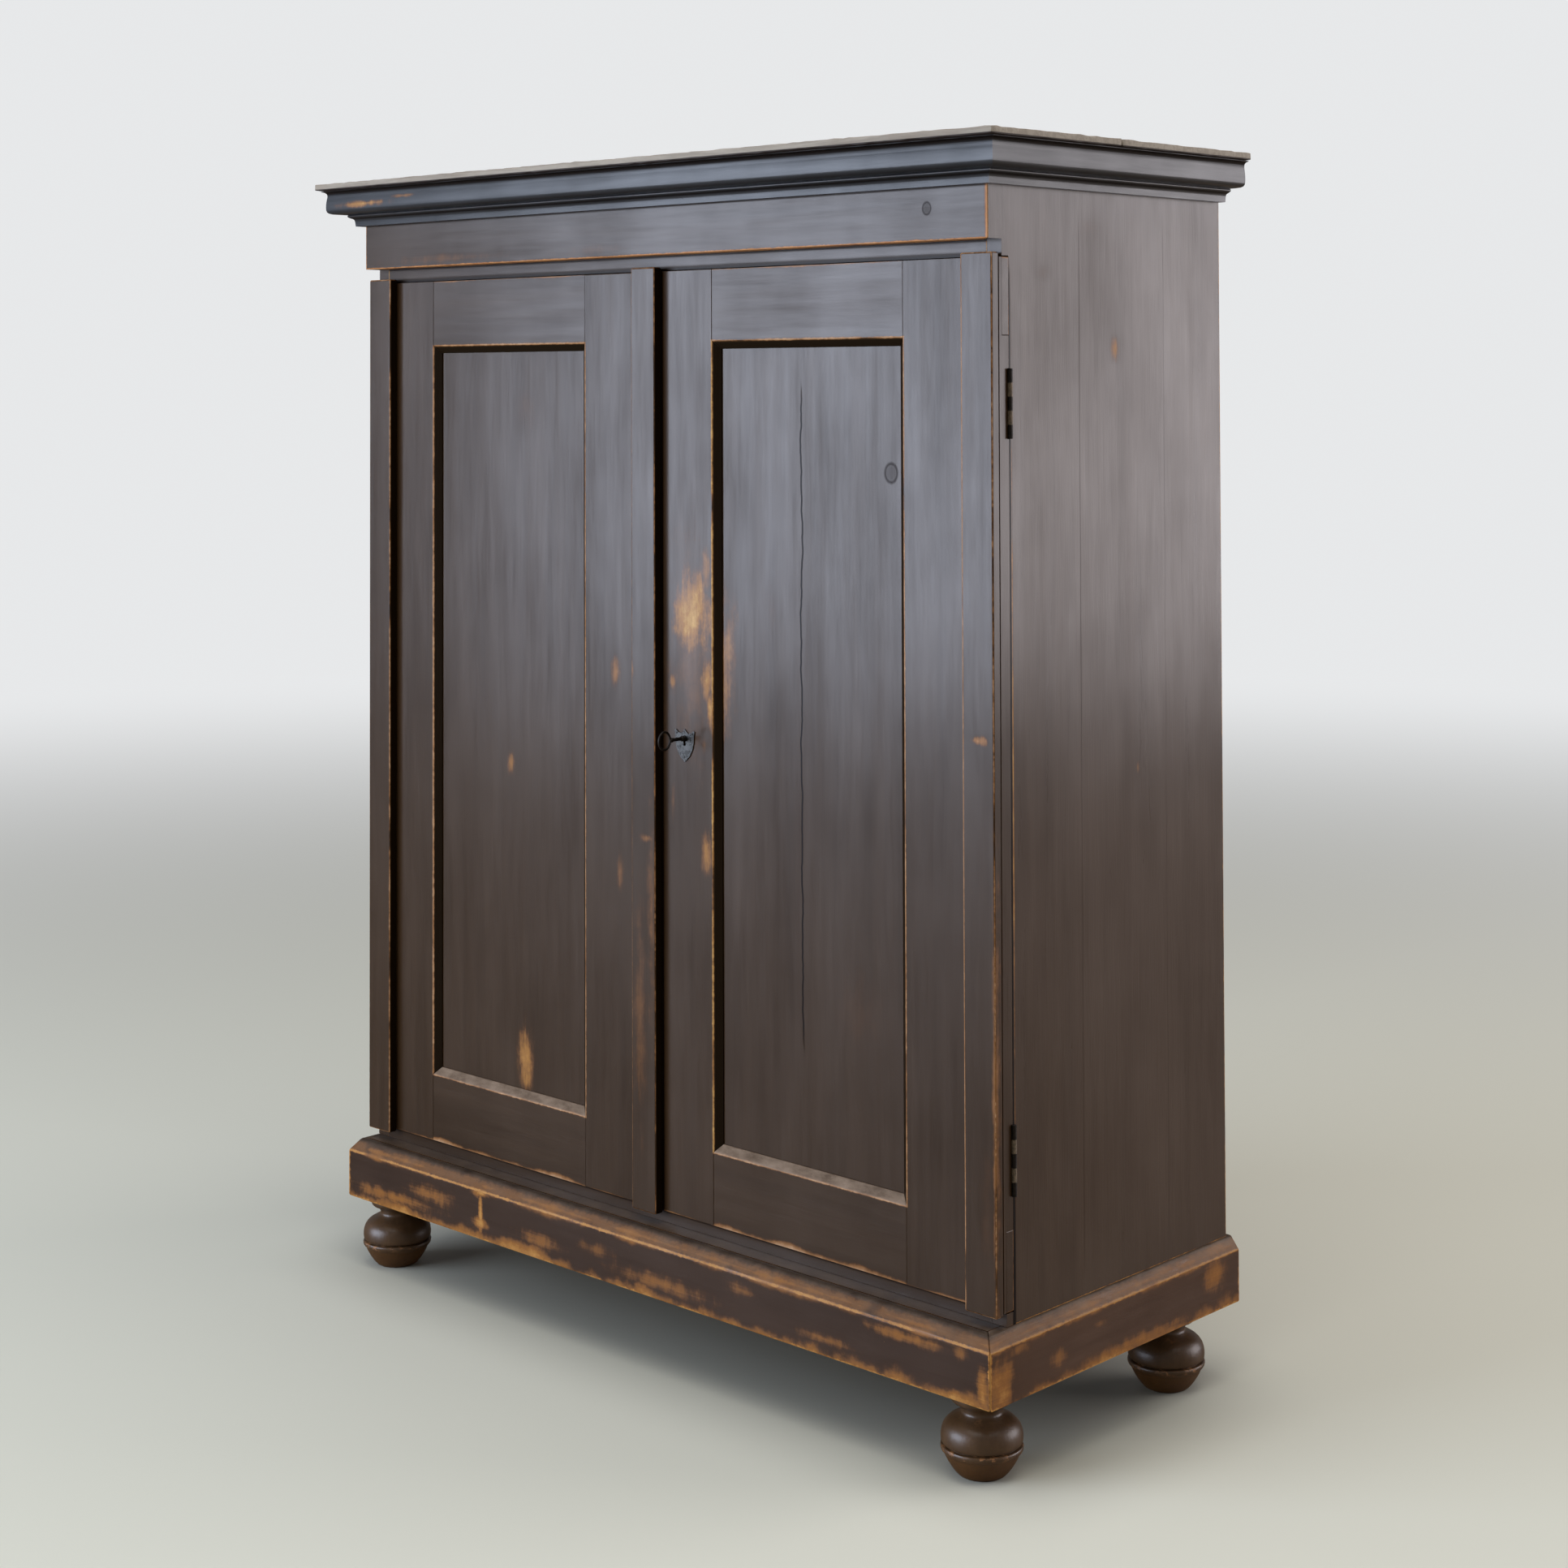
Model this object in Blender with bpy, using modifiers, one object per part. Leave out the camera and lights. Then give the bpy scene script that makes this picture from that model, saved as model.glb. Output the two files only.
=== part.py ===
# Linen cupboard: a painted pine case on turned feet, closed by two framed doors.
# Metres, +Z up. The floor is at zero, the front faces -Y, and the origin lies under the middle of the whole.
from math import cos, pi, sin, sqrt

import bmesh
import bpy

# Fits and cuts. Points nearer than the merge distance are one point.
FIT = 0.0003
CUT_OVERRUN = 0.002
MERGE_DISTANCE = 0.00001

# Case: outside sizes, from the frieze's face to the back boards' rear face
CASE_WIDTH = 1.3094
CASE_DEPTH = 0.5286
SIDE_THICKNESS = 0.024
BACK_BOARD_THICKNESS = 0.012
BACK_REBATE_WIDTH = 0.012
BACK_BOARD_COUNT = 3
BACK_TONGUE_LENGTH = 0.006
BACK_TONGUE_THICKNESS = 0.004

# Roof, frieze and cornice
ROOF_THICKNESS = 0.011
ROOF_FRONT_OVERHANG = 0.062
ROOF_SIDE_OVERHANG = 0.058
ROOF_FRONT_BOARD_WIDTH = 0.280
FRIEZE_HEIGHT = 0.1286
CORNICE_HEIGHT = 0.0548
CORNICE_PROJECTION = 0.052
OVOLO_PROJECTION = 0.042
OVOLO_FOOT_PROJECTION = 0.025
BEAD_PROJECTION = 0.0205
COVE_FOOT_PROJECTION = 0.012
CAVETTO_HEIGHT = 0.0085
OVOLO_HEIGHT = 0.025
BEAD_HEIGHT = 0.0055
COVE_HEIGHT = 0.0125

# Rails above and below the doors, each with a stop behind the doors
TOP_RAIL_SHOW = 0.0219
BOTTOM_RAIL_SHOW = 0.017
RAIL_SETBACK = 0.0055
RAIL_THICKNESS = 0.024
RAIL_BEHIND_FRIEZE = 0.040
STOP_HEIGHT = 0.018

# Plinth, its corner blocks and the feet
PLINTH_HEIGHT = 0.0915
PLINTH_THICKNESS = 0.024
PLINTH_FRONT_LAP = 0.0229
PLINTH_SIDE_LAP = 0.0135
PLINTH_REAR_LAP = 0.0131
PLINTH_CHAMFER_RUN = 0.0135
PLINTH_CHAMFER_RISE = 0.0175
LEDGE_THICKNESS = 0.018
LEDGE_DEPTH = 0.090
FOOT_HEIGHT = 0.107
FOOT_RADIUS = 0.0548
FOOT_SIDE_INSET = 0.0582
FOOT_FRONT_INSET = 0.0537
FOOT_REAR_INSET = 0.0988
SPIGOT_RADIUS = 0.016
SPIGOT_LENGTH = 0.045
BLOCK_MARGIN = 0.038

# Shelves and the case's floor
SHELF_COUNT = 3
SHELF_THICKNESS = 0.018
SHELF_SETBACK = 0.027
FLOOR_THICKNESS = 0.018

# Doors: framed, with a flat panel in a groove and applied strips
DOOR_HEIGHT = 1.370
DOOR_THICKNESS = 0.0195
DOOR_CLEARANCE = 0.0015
MEETING_OFFSET = 0.0203
MEETING_GAP = 0.0015
LEFT_HINGE_STILE = 0.1455
LEFT_MEETING_STILE = 0.1675
RIGHT_HINGE_STILE = 0.166
RIGHT_MEETING_STILE = 0.102
DOOR_TOP_RAIL = 0.103
DOOR_BOTTOM_RAIL = 0.104
RAIL_LAP_THICKNESS = 0.014
BEVEL_WIDTH = 0.012
BEVEL_DEPTH = 0.0085
PANEL_SETBACK = 0.010
PANEL_EDGE_THICKNESS = 0.0055
PANEL_FIELD_RISE = 0.0035
PANEL_FIELD_INSET = 0.030
GROOVE_DEPTH = 0.009
STRIP_SETBACK = 0.0074
STRIP_THICKNESS = 0.0155
CORNER_STRIP_WIDTH = 0.0535
MEETING_STRIP_WIDTH = 0.050
STRIP_RISE = 0.006
STRIP_DROP = 0.0035
STRIP_EDGE_ROUND = 0.0015

# Hinges: five-knuckle butts with their leaves let into the side's edge and the door's back
HINGE_LENGTH = 0.092
HINGE_BEYOND_RAIL = 0.0435
KNUCKLE_COUNT = 5
KNUCKLE_RADIUS = 0.0036
KNUCKLE_CLEARANCE = 0.0004
HINGE_STANDOFF = 0.002
LEAF_THICKNESS = 0.002
LEAF_WIDTH = 0.0185
PIN_RADIUS = 0.0016

# Lock, key and escutcheon on the right door, strike on the left one
KEY_FROM_EDGE = 0.0465
KEY_HEIGHT = 0.690
KEY_SHAFT_RADIUS = 0.0028
KEY_SHAFT_SHOW = 0.031
KEY_COLLAR_RADIUS = 0.0042
KEY_COLLAR_LENGTH = 0.004
KEY_BOW_HALF_HEIGHT = 0.0130
KEY_BOW_HALF_DEPTH = 0.0112
KEY_WIRE_RADIUS = 0.0018
KEY_BIT_REACH = 0.009
KEY_BIT_LENGTH = 0.007
KEY_BIT_THICKNESS = 0.003
KEYHOLE_RADIUS = 0.0034
KEYHOLE_SLOT_WIDTH = 0.0044
KEYHOLE_SLOT_REACH = 0.0108
ESCUTCHEON_WIDTH = 0.041
ESCUTCHEON_HEIGHT = 0.048
ESCUTCHEON_THICKNESS = 0.0014
ESCUTCHEON_ABOVE_KEY = 0.0135
LOCK_WIDTH = 0.080
LOCK_DEPTH = 0.015
LOCK_WALL = 0.002
LOCK_BELOW_KEY = 0.022
LOCK_ABOVE_KEY = 0.032
LOCK_EDGE_INSET = 0.0015
LOCK_BOLT_LENGTH = 0.060
LOCK_BOLT_HEIGHT = 0.014
LOCK_BOLT_THICKNESS = 0.005
LOCK_BOLT_RISE = 0.012
STRIKE_WIDTH = 0.014
STRIKE_WALL = 0.0025
STRIKE_INSET = 0.0025

# Slide bolts inside the left door, one into each case rail
BOLT_FROM_EDGE = 0.095
BOLT_WIDTH = 0.012
BOLT_THICKNESS = 0.005
BOLT_LENGTH = 0.150
BOLT_THROW = 0.016
BOLT_STOP_CLEARANCE = 0.003
BOLT_PLATE_LENGTH = 0.110
BOLT_PLATE_THICKNESS = 0.0016
BOLT_PLATE_WIDTH = 0.026
BOLT_PLATE_SETBACK = 0.012
STAPLE_LENGTH = 0.010
STAPLE_WALL = 0.002
BOLT_KNOB_RADIUS = 0.004
BOLT_KNOB_LENGTH = 0.009

# Facets of the round pieces, and the angle from which an edge stays sharp
FOOT_STEPS = 24
KNUCKLE_STEPS = 16
SHAFT_STEPS = 14
ARC_STEPS = 5
SHARP_ANGLE = pi / 5

# A turned foot from its collar down to its base: shares of the foot's radius and height
FOOT_PROFILE_SHARES = (
    (0.80, 1.000), (0.81, 0.945), (0.79, 0.890), (0.70, 0.845), (0.65, 0.800), (0.66, 0.755),
    (0.76, 0.700), (0.88, 0.630), (0.965, 0.545), (1.00, 0.440), (0.985, 0.350), (0.950, 0.300),
    (0.895, 0.285), (0.940, 0.262), (0.930, 0.220), (0.850, 0.140), (0.720, 0.065), (0.560, 0.014),
    (0.490, 0.000),
)
# The shield of the escutcheon, half of it from the top middle down to the point: shares of half the
# width and of the height, both measured from the top middle
SHIELD_SHARES = (
    (0.00, 0.00), (0.10, 0.05), (0.34, 0.13), (0.62, 0.12), (0.86, 0.03), (1.00, 0.06),
    (0.95, 0.20), (0.92, 0.40), (0.80, 0.60), (0.54, 0.80), (0.22, 0.93), (0.00, 1.00),
)

# Places that follow from the sizes, front to back
overall_depth = ROOF_FRONT_OVERHANG + CASE_DEPTH + PLINTH_REAR_LAP
frieze_y = ROOF_FRONT_OVERHANG - overall_depth / 2
strip_y = frieze_y + STRIP_SETBACK
door_y = strip_y + STRIP_THICKNESS
door_back_y = door_y + DOOR_THICKNESS
rail_y = door_y + RAIL_SETBACK
stop_y = door_back_y + FIT
rail_back_y = rail_y + RAIL_THICKNESS
case_back_y = frieze_y + CASE_DEPTH
back_board_y = case_back_y - BACK_BOARD_THICKNESS
plinth_y = frieze_y - PLINTH_FRONT_LAP
plinth_back_y = case_back_y + PLINTH_REAR_LAP

# Left to right
case_x = CASE_WIDTH / 2
inside_x = case_x - SIDE_THICKNESS
plinth_x = case_x + PLINTH_SIDE_LAP
plinth_inside_x = plinth_x - PLINTH_THICKNESS
hinge_x = case_x + HINGE_STANDOFF
hinge_y = door_back_y + FIT / 2

# Bottom to top
plinth_top_z = FOOT_HEIGHT + PLINTH_HEIGHT
rail_top_z = plinth_top_z + BOTTOM_RAIL_SHOW
door_z = rail_top_z + DOOR_CLEARANCE
door_top_z = door_z + DOOR_HEIGHT
top_rail_z = door_top_z + DOOR_CLEARANCE
frieze_z = top_rail_z + TOP_RAIL_SHOW
roof_z = frieze_z + FRIEZE_HEIGHT
floor_z = rail_top_z + STOP_HEIGHT
shelf_pitch = (top_rail_z - floor_z) / (SHELF_COUNT + 1)

for old_object in list(bpy.data.objects):
    bpy.data.objects.remove(old_object, do_unlink=True)

cupboard = bpy.data.collections.new("linen_cupboard")
cutters = bpy.data.collections.new("cutters")
bpy.context.scene.collection.children.link(cupboard)
bpy.context.scene.collection.children.link(cutters)


def finish(name, colour, roughness, metallic):
    """A Principled material of one colour."""
    material = bpy.data.materials.new(name)
    material.use_nodes = True
    shader = material.node_tree.nodes["Principled BSDF"]
    shader.inputs["Base Color"].default_value = (*colour, 1)
    shader.inputs["Roughness"].default_value = roughness
    shader.inputs["Metallic"].default_value = metallic
    material.diffuse_color = (*colour, 1)
    return material


PAINTED_PINE = finish("painted_pine", (0.075, 0.050, 0.045), 0.38, 0)
WORN_PLINTH = finish("worn_plinth", (0.130, 0.070, 0.035), 0.45, 0)
BARE_PINE = finish("bare_pine", (0.480, 0.350, 0.220), 0.70, 0)
TURNED_FOOT = finish("turned_foot", (0.070, 0.035, 0.018), 0.30, 0)
DARK_IRON = finish("dark_iron", (0.030, 0.028, 0.027), 0.50, 0.8)
GREY_IRON = finish("grey_iron", (0.250, 0.240, 0.230), 0.40, 0.9)


def add_piece(name, mesh, material, place=(0, 0, 0), turn=(0, 0, 0)):
    """Link a mesh into the cupboard as one named piece."""
    piece = bpy.data.objects.new(name, mesh)
    piece.location = place
    piece.rotation_euler = turn
    mesh.materials.append(material)
    cupboard.objects.link(piece)
    return piece


def make_cutter(piece):
    """Move a piece to the cutters' collection."""
    cupboard.objects.unlink(piece)
    cutters.objects.link(piece)
    piece.hide_render = True
    piece.display_type = 'WIRE'
    return piece


def board(name, corner, opposite, material=PAINTED_PINE):
    """A plain board between two opposite corners, in any order."""
    size = [abs(b - a) for a, b in zip(corner, opposite)]
    middle = [(a + b) / 2 for a, b in zip(corner, opposite)]
    shape = bmesh.new()
    bmesh.ops.create_cube(shape, size=1)
    bmesh.ops.scale(shape, vec=size, verts=shape.verts)
    mesh = bpy.data.meshes.new(name)
    shape.to_mesh(mesh)
    shape.free()
    return add_piece(name, mesh, material, middle)


def boards(name, corner_pairs, material=PAINTED_PINE):
    """Several plain boards in one piece, each a solid of its own."""
    shape = bmesh.new()
    for corner, opposite in corner_pairs:
        made = bmesh.ops.create_cube(shape, size=1)["verts"]
        bmesh.ops.scale(shape, vec=[abs(b - a) for a, b in zip(corner, opposite)], verts=made)
        bmesh.ops.translate(shape, vec=[(a + b) / 2 for a, b in zip(corner, opposite)], verts=made)
    mesh = bpy.data.meshes.new(name)
    shape.to_mesh(mesh)
    shape.free()
    return add_piece(name, mesh, material)


def rods(name, ends, radius, steps, material=DARK_IRON):
    """Upright round rods in one piece. Each end is (x, y, low z, high z)."""
    shape = bmesh.new()
    for x, y, low, high in ends:
        made = bmesh.ops.create_cone(shape, cap_ends=True, segments=steps, radius1=radius,
                                     radius2=radius, depth=high - low)["verts"]
        bmesh.ops.translate(shape, vec=(x, y, (low + high) / 2), verts=made)
    mesh = bpy.data.meshes.new(name)
    shape.to_mesh(mesh)
    shape.free()
    smooth(mesh)
    return add_piece(name, mesh, material)


def smooth(mesh):
    """Shade round faces smooth and keep sharp edges sharp."""
    mesh.shade_smooth()
    mesh.set_sharp_from_angle(angle=SHARP_ANGLE)


# The turn that lays a flat outline's own X, Y and depth along the world's axes
OUTLINE_TURNS = {
    'X': (pi / 2, 0, pi / 2),
    'Y': (pi / 2, 0, 0),
    'Z': (0, 0, 0),
}


def outline_piece(name, outlines, axis, start, end, material=PAINTED_PINE):
    """Flat outlines run along an axis: (y, z) points for X, (x, z) for Y and (x, y) for Z."""
    curve = bpy.data.curves.new(name, 'CURVE')
    curve.dimensions = '2D'
    curve.fill_mode = 'BOTH'
    curve.extrude = abs(end - start) / 2
    for outline in outlines:
        spline = curve.splines.new('POLY')
        spline.points.add(len(outline) - 1)
        for point, (across, up) in zip(spline.points, outline):
            point.co = (across, up, 0, 1)
        spline.use_cyclic_u = True
    shaped = bpy.data.objects.new(name, curve)
    cutters.objects.link(shaped)
    mesh = bpy.data.meshes.new_from_object(shaped.evaluated_get(bpy.context.evaluated_depsgraph_get()))
    bpy.data.objects.remove(shaped)
    shape = bmesh.new()
    shape.from_mesh(mesh)
    bmesh.ops.remove_doubles(shape, verts=shape.verts, dist=MERGE_DISTANCE)
    bmesh.ops.recalc_face_normals(shape, faces=shape.faces)
    shape.to_mesh(mesh)
    shape.free()
    middle = (start + end) / 2
    place = {'X': (middle, 0, 0), 'Y': (0, middle, 0), 'Z': (0, 0, middle)}[axis]
    return add_piece(name, mesh, material, place, OUTLINE_TURNS[axis])


def turned_piece(name, profile, place, steps, material):
    """A profile of (radius, height) points, top to bottom, turned about the upright axis."""
    mesh = bpy.data.meshes.new(name)
    edges = [(i, i + 1) for i in range(len(profile) - 1)]
    mesh.from_pydata([(radius, 0, height) for radius, height in profile], edges, [])
    piece = add_piece(name, mesh, material, place)
    screw = piece.modifiers.new("turned", 'SCREW')
    screw.steps = steps
    screw.render_steps = steps
    screw.use_merge_vertices = True
    screw.merge_threshold = MERGE_DISTANCE
    screw.use_smooth_shade = True
    return piece


def boolean(piece, other, operation):
    """Cut or join a piece with another and keep the exact solver."""
    step = piece.modifiers.new(other.name, 'BOOLEAN')
    step.operation = operation
    step.object = other
    step.solver = 'EXACT'


def cut(piece, *tools):
    """Cut a piece with each tool in turn."""
    for tool in tools:
        boolean(piece, tool, 'DIFFERENCE')


def join(piece, addition):
    """Join an addition to a piece as one solid."""
    boolean(piece, make_cutter(addition), 'UNION')


def tool_box(name, corner, opposite):
    """A box that cuts."""
    return make_cutter(board(name, corner, opposite))


def round_edges(piece, radius):
    """Break a board's arrises with one facet."""
    step = piece.modifiers.new("worn arrises", 'BEVEL')
    step.width = radius
    step.segments = 1
    step.limit_method = 'ANGLE'


def mitre_tools(name, side, corner_x, corner_y, reach):
    """Two blocks that meet on the upright mitre plane through a front corner.

    The first takes all that lies beyond the plane at the side, the second all that lies in front.
    """
    half_fit = FIT / 2 / sqrt(2)
    tools = []
    for label, sign in (("side", 1), ("front", -1)):
        x = corner_x - sign * half_fit
        y = corner_y - sign * half_fit
        outline = (
            (x + reach, y - reach),
            (x + reach + sign * reach, y - reach + sign * reach),
            (x - reach + sign * reach, y + reach + sign * reach),
            (x - reach, y + reach),
        )
        outline = [(side * across, along) for across, along in outline]
        block = outline_piece(name + "_" + label, [outline], 'Z', -CUT_OVERRUN, roof_z + reach)
        tools.append(make_cutter(block))
    return tools


# Case

def side_panel(name, side, mitre, hinge_tools):
    """One wide side, its front edge stepped back for the rails and the door."""
    foot_z = plinth_top_z + FIT
    head_z = roof_z - FIT
    outline = (
        (case_back_y, foot_z), (case_back_y, head_z), (frieze_y, head_z), (frieze_y, frieze_z),
        (rail_y, frieze_z), (rail_y, top_rail_z), (stop_y, top_rail_z), (stop_y, rail_top_z),
        (rail_y, rail_top_z), (rail_y, foot_z),
    )
    panel = outline_piece(name, [outline], 'X', side * inside_x, side * case_x)
    rebate = tool_box(name + "_back_rebate",
                      (side * (inside_x - CUT_OVERRUN), back_board_y - FIT, foot_z - CUT_OVERRUN),
                      (side * (inside_x + BACK_REBATE_WIDTH), case_back_y + CUT_OVERRUN,
                       head_z + CUT_OVERRUN))
    cut(panel, mitre, rebate, *hinge_tools)
    return panel


def case_rails():
    """The rail over the doors and the one under them, each with its stop."""
    reach_x = inside_x - FIT
    head_z = frieze_z + RAIL_BEHIND_FRIEZE
    top_outline = (
        (rail_y, top_rail_z), (rail_y, head_z), (rail_back_y, head_z),
        (rail_back_y, top_rail_z - STOP_HEIGHT), (stop_y, top_rail_z - STOP_HEIGHT), (stop_y, top_rail_z),
    )
    foot_z = plinth_top_z + FIT
    bottom_outline = (
        (rail_y, foot_z), (rail_y, rail_top_z), (stop_y, rail_top_z), (stop_y, floor_z),
        (rail_back_y, floor_z), (rail_back_y, foot_z),
    )
    top_rail = outline_piece("top_rail", [top_outline], 'X', -reach_x, reach_x)
    bottom_rail = outline_piece("bottom_rail", [bottom_outline], 'X', -reach_x, reach_x)
    return top_rail, bottom_rail


def arc(start, end, bulge_first):
    """A quarter ellipse from start to end. It leaves start upright, or level if bulge_first."""
    points = []
    for step in range(ARC_STEPS + 1):
        turn = step / ARC_STEPS * pi / 2
        along, away = (sin(turn), 1 - cos(turn)) if bulge_first else (1 - cos(turn), sin(turn))
        points.append((start[0] + (end[0] - start[0]) * along, start[1] + (end[1] - start[1]) * away))
    return points


def cornice_profile():
    """The moulding's outline from its foot up, as (projection, height): cove, bead, ovolo, cavetto."""
    head_z = roof_z - FIT
    foot_z = head_z - CORNICE_HEIGHT
    cove_z = foot_z + COVE_HEIGHT
    bead_z = cove_z + BEAD_HEIGHT
    ovolo_top_z = head_z - CAVETTO_HEIGHT
    ovolo_foot_z = ovolo_top_z - OVOLO_HEIGHT
    points = [(FIT, foot_z)]
    points += arc((COVE_FOOT_PROJECTION, foot_z), (BEAD_PROJECTION, cove_z), False)
    points += arc((BEAD_PROJECTION, cove_z), (OVOLO_FOOT_PROJECTION, bead_z), True)[1:]
    points += arc((OVOLO_FOOT_PROJECTION, ovolo_foot_z), (OVOLO_PROJECTION, ovolo_top_z), True)
    points += arc((OVOLO_PROJECTION, ovolo_top_z), (CORNICE_PROJECTION, head_z), False)[1:]
    points.append((FIT, head_z))
    return points


def cornice(left_mitres, right_mitres):
    """The front length, mitred at both ends, and two returns that stop at the back."""
    profile = cornice_profile()
    end_x = case_x + CORNICE_PROJECTION + CUT_OVERRUN
    front = outline_piece("cornice_front", [[(frieze_y - out, z) for out, z in profile]], 'X', -end_x, end_x)
    cut(front, left_mitres[0], right_mitres[0])
    start_y = frieze_y - CORNICE_PROJECTION - CUT_OVERRUN
    for name, side, mitres in (("cornice_left", -1, left_mitres), ("cornice_right", 1, right_mitres)):
        outline = [(side * (case_x + out), z) for out, z in profile]
        cut(outline_piece(name, [outline], 'Y', start_y, case_back_y), mitres[1])


def roof():
    """Two thin boards that cover the case and the cornice, their edges left bare."""
    reach_x = case_x + ROOF_SIDE_OVERHANG
    front_y = frieze_y - ROOF_FRONT_OVERHANG
    joint_y = front_y + ROOF_FRONT_BOARD_WIDTH
    top_z = roof_z + ROOF_THICKNESS
    board("roof_front_board", (-reach_x, front_y, roof_z), (reach_x, joint_y, top_z), BARE_PINE)
    board("roof_rear_board", (-reach_x, joint_y + FIT, roof_z), (reach_x, case_back_y, top_z), BARE_PINE)


def back_boards():
    """Upright boards, tongued and grooved, in the rebates of the sides."""
    edge_x = inside_x + BACK_REBATE_WIDTH - FIT
    pitch = 2 * edge_x / BACK_BOARD_COUNT
    middle_y = (back_board_y + case_back_y) / 2
    tongue = BACK_TONGUE_THICKNESS / 2
    for number in range(BACK_BOARD_COUNT):
        left_x = -edge_x + number * pitch
        right_x = left_x + pitch
        outline = [(left_x, back_board_y)]
        if number < BACK_BOARD_COUNT - 1:
            right_x -= FIT
            tip_x = right_x + BACK_TONGUE_LENGTH
            outline += [(right_x, back_board_y), (right_x, middle_y - tongue), (tip_x, middle_y - tongue),
                        (tip_x, middle_y + tongue), (right_x, middle_y + tongue), (right_x, case_back_y)]
        else:
            outline += [(right_x, back_board_y), (right_x, case_back_y)]
        outline.append((left_x, case_back_y))
        if number > 0:
            bottom_x = left_x + BACK_TONGUE_LENGTH
            half = tongue + FIT
            outline += [(left_x, middle_y + half), (bottom_x, middle_y + half),
                        (bottom_x, middle_y - half), (left_x, middle_y - half)]
        outline_piece("back_board_%d" % (number + 1), [outline], 'Z', plinth_top_z + FIT, roof_z - FIT,
                      BARE_PINE)


def shelves():
    """The case's floor, and the shelves nailed between the sides."""
    reach_x = inside_x - FIT
    rear_y = back_board_y - FIT
    board("bottom_board", (-reach_x, rail_back_y + FIT, floor_z - FLOOR_THICKNESS),
          (reach_x, rear_y, floor_z), BARE_PINE)
    front_y = rail_back_y + SHELF_SETBACK
    for number in range(1, SHELF_COUNT + 1):
        top_z = floor_z + number * shelf_pitch
        board("shelf_%d" % number, (-reach_x, front_y, top_z - SHELF_THICKNESS),
              (reach_x, rear_y, top_z), BARE_PINE)


# Plinth and feet

def plinth():
    """Four boards, chamfered on top and mitred at the front, with a ledge board behind the front one."""
    shoulder_z = plinth_top_z - PLINTH_CHAMFER_RISE
    profile = ((0, FOOT_HEIGHT), (0, shoulder_z), (PLINTH_CHAMFER_RUN, plinth_top_z),
               (PLINTH_THICKNESS, plinth_top_z), (PLINTH_THICKNESS, FOOT_HEIGHT))
    reach = 2 * PLINTH_THICKNESS
    front = outline_piece("plinth_front", [[(plinth_y + back, z) for back, z in profile]],
                          'X', -plinth_x, plinth_x, WORN_PLINTH)
    for name, side in (("plinth_left", -1), ("plinth_right", 1)):
        side_tool, front_tool = mitre_tools(name + "_mitre", side, plinth_x, plinth_y, reach)
        cut(front, side_tool)
        outline = [(side * (plinth_x - back), z) for back, z in profile]
        cut(outline_piece(name, [outline], 'Y', plinth_y, plinth_back_y, WORN_PLINTH), front_tool)
    reach_x = plinth_inside_x - FIT
    board("plinth_back", (-reach_x, plinth_back_y - PLINTH_THICKNESS, FOOT_HEIGHT),
          (reach_x, plinth_back_y, plinth_top_z), WORN_PLINTH)
    ledge_y = plinth_y + PLINTH_THICKNESS + FIT
    board("plinth_ledge", (-reach_x, ledge_y, plinth_top_z - LEDGE_THICKNESS),
          (reach_x, ledge_y + LEDGE_DEPTH, plinth_top_z))


def feet():
    """Turned bun feet, each with a spigot that sits in a corner block of the plinth."""
    foot_x = plinth_x - FOOT_SIDE_INSET
    top = FOOT_HEIGHT - FIT
    spigot_top = top + SPIGOT_LENGTH
    profile = [(0, spigot_top), (SPIGOT_RADIUS, spigot_top), (SPIGOT_RADIUS, top)]
    profile += [(out * FOOT_RADIUS, up * top) for out, up in FOOT_PROFILE_SHARES]
    profile.append((0, 0))
    block_top_z = plinth_top_z - LEDGE_THICKNESS - FIT
    socket_radius = (SPIGOT_RADIUS + FIT) / cos(pi / FOOT_STEPS)
    rows = (
        ("front", plinth_y + FOOT_FRONT_INSET, plinth_y + PLINTH_THICKNESS + FIT, 1),
        ("rear", plinth_back_y - FOOT_REAR_INSET, plinth_back_y - PLINTH_THICKNESS - FIT, -1),
    )
    for row, foot_y, wall_y, inward in rows:
        for hand, side in (("left", -1), ("right", 1)):
            place = (side * foot_x, foot_y, 0)
            name = row + "_" + hand
            turned_piece("foot_" + name, profile, place, FOOT_STEPS, TURNED_FOOT)
            outer = (side * (plinth_inside_x - FIT), wall_y, FOOT_HEIGHT)
            inner = (side * (foot_x - BLOCK_MARGIN), foot_y + inward * BLOCK_MARGIN, block_top_z)
            block = board("corner_block_" + name, outer, inner, BARE_PINE)
            hollow = (side * foot_x, foot_y, FOOT_HEIGHT - CUT_OVERRUN, spigot_top + FIT)
            cut(block, make_cutter(rods(name + "_socket", [hollow], socket_radius, FOOT_STEPS)))


# Doors

def panel_board(name, left, right, low, high):
    """A flat panel, thin at its edges for the groove, with a raised field on the back."""
    front_y = door_y + PANEL_SETBACK + FIT
    panel = board(name, (left, front_y, low), (right, front_y + PANEL_EDGE_THICKNESS, high))
    shape = bmesh.new()
    shape.from_mesh(panel.data)
    rear = [face for face in shape.faces if face.normal.y > cos(pi / 4)]
    bmesh.ops.inset_region(shape, faces=rear, thickness=GROOVE_DEPTH + FIT, use_even_offset=True)
    bmesh.ops.inset_region(shape, faces=rear, thickness=PANEL_FIELD_INSET, depth=PANEL_FIELD_RISE,
                           use_even_offset=True)
    shape.to_mesh(panel.data)
    shape.free()
    return panel


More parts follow.
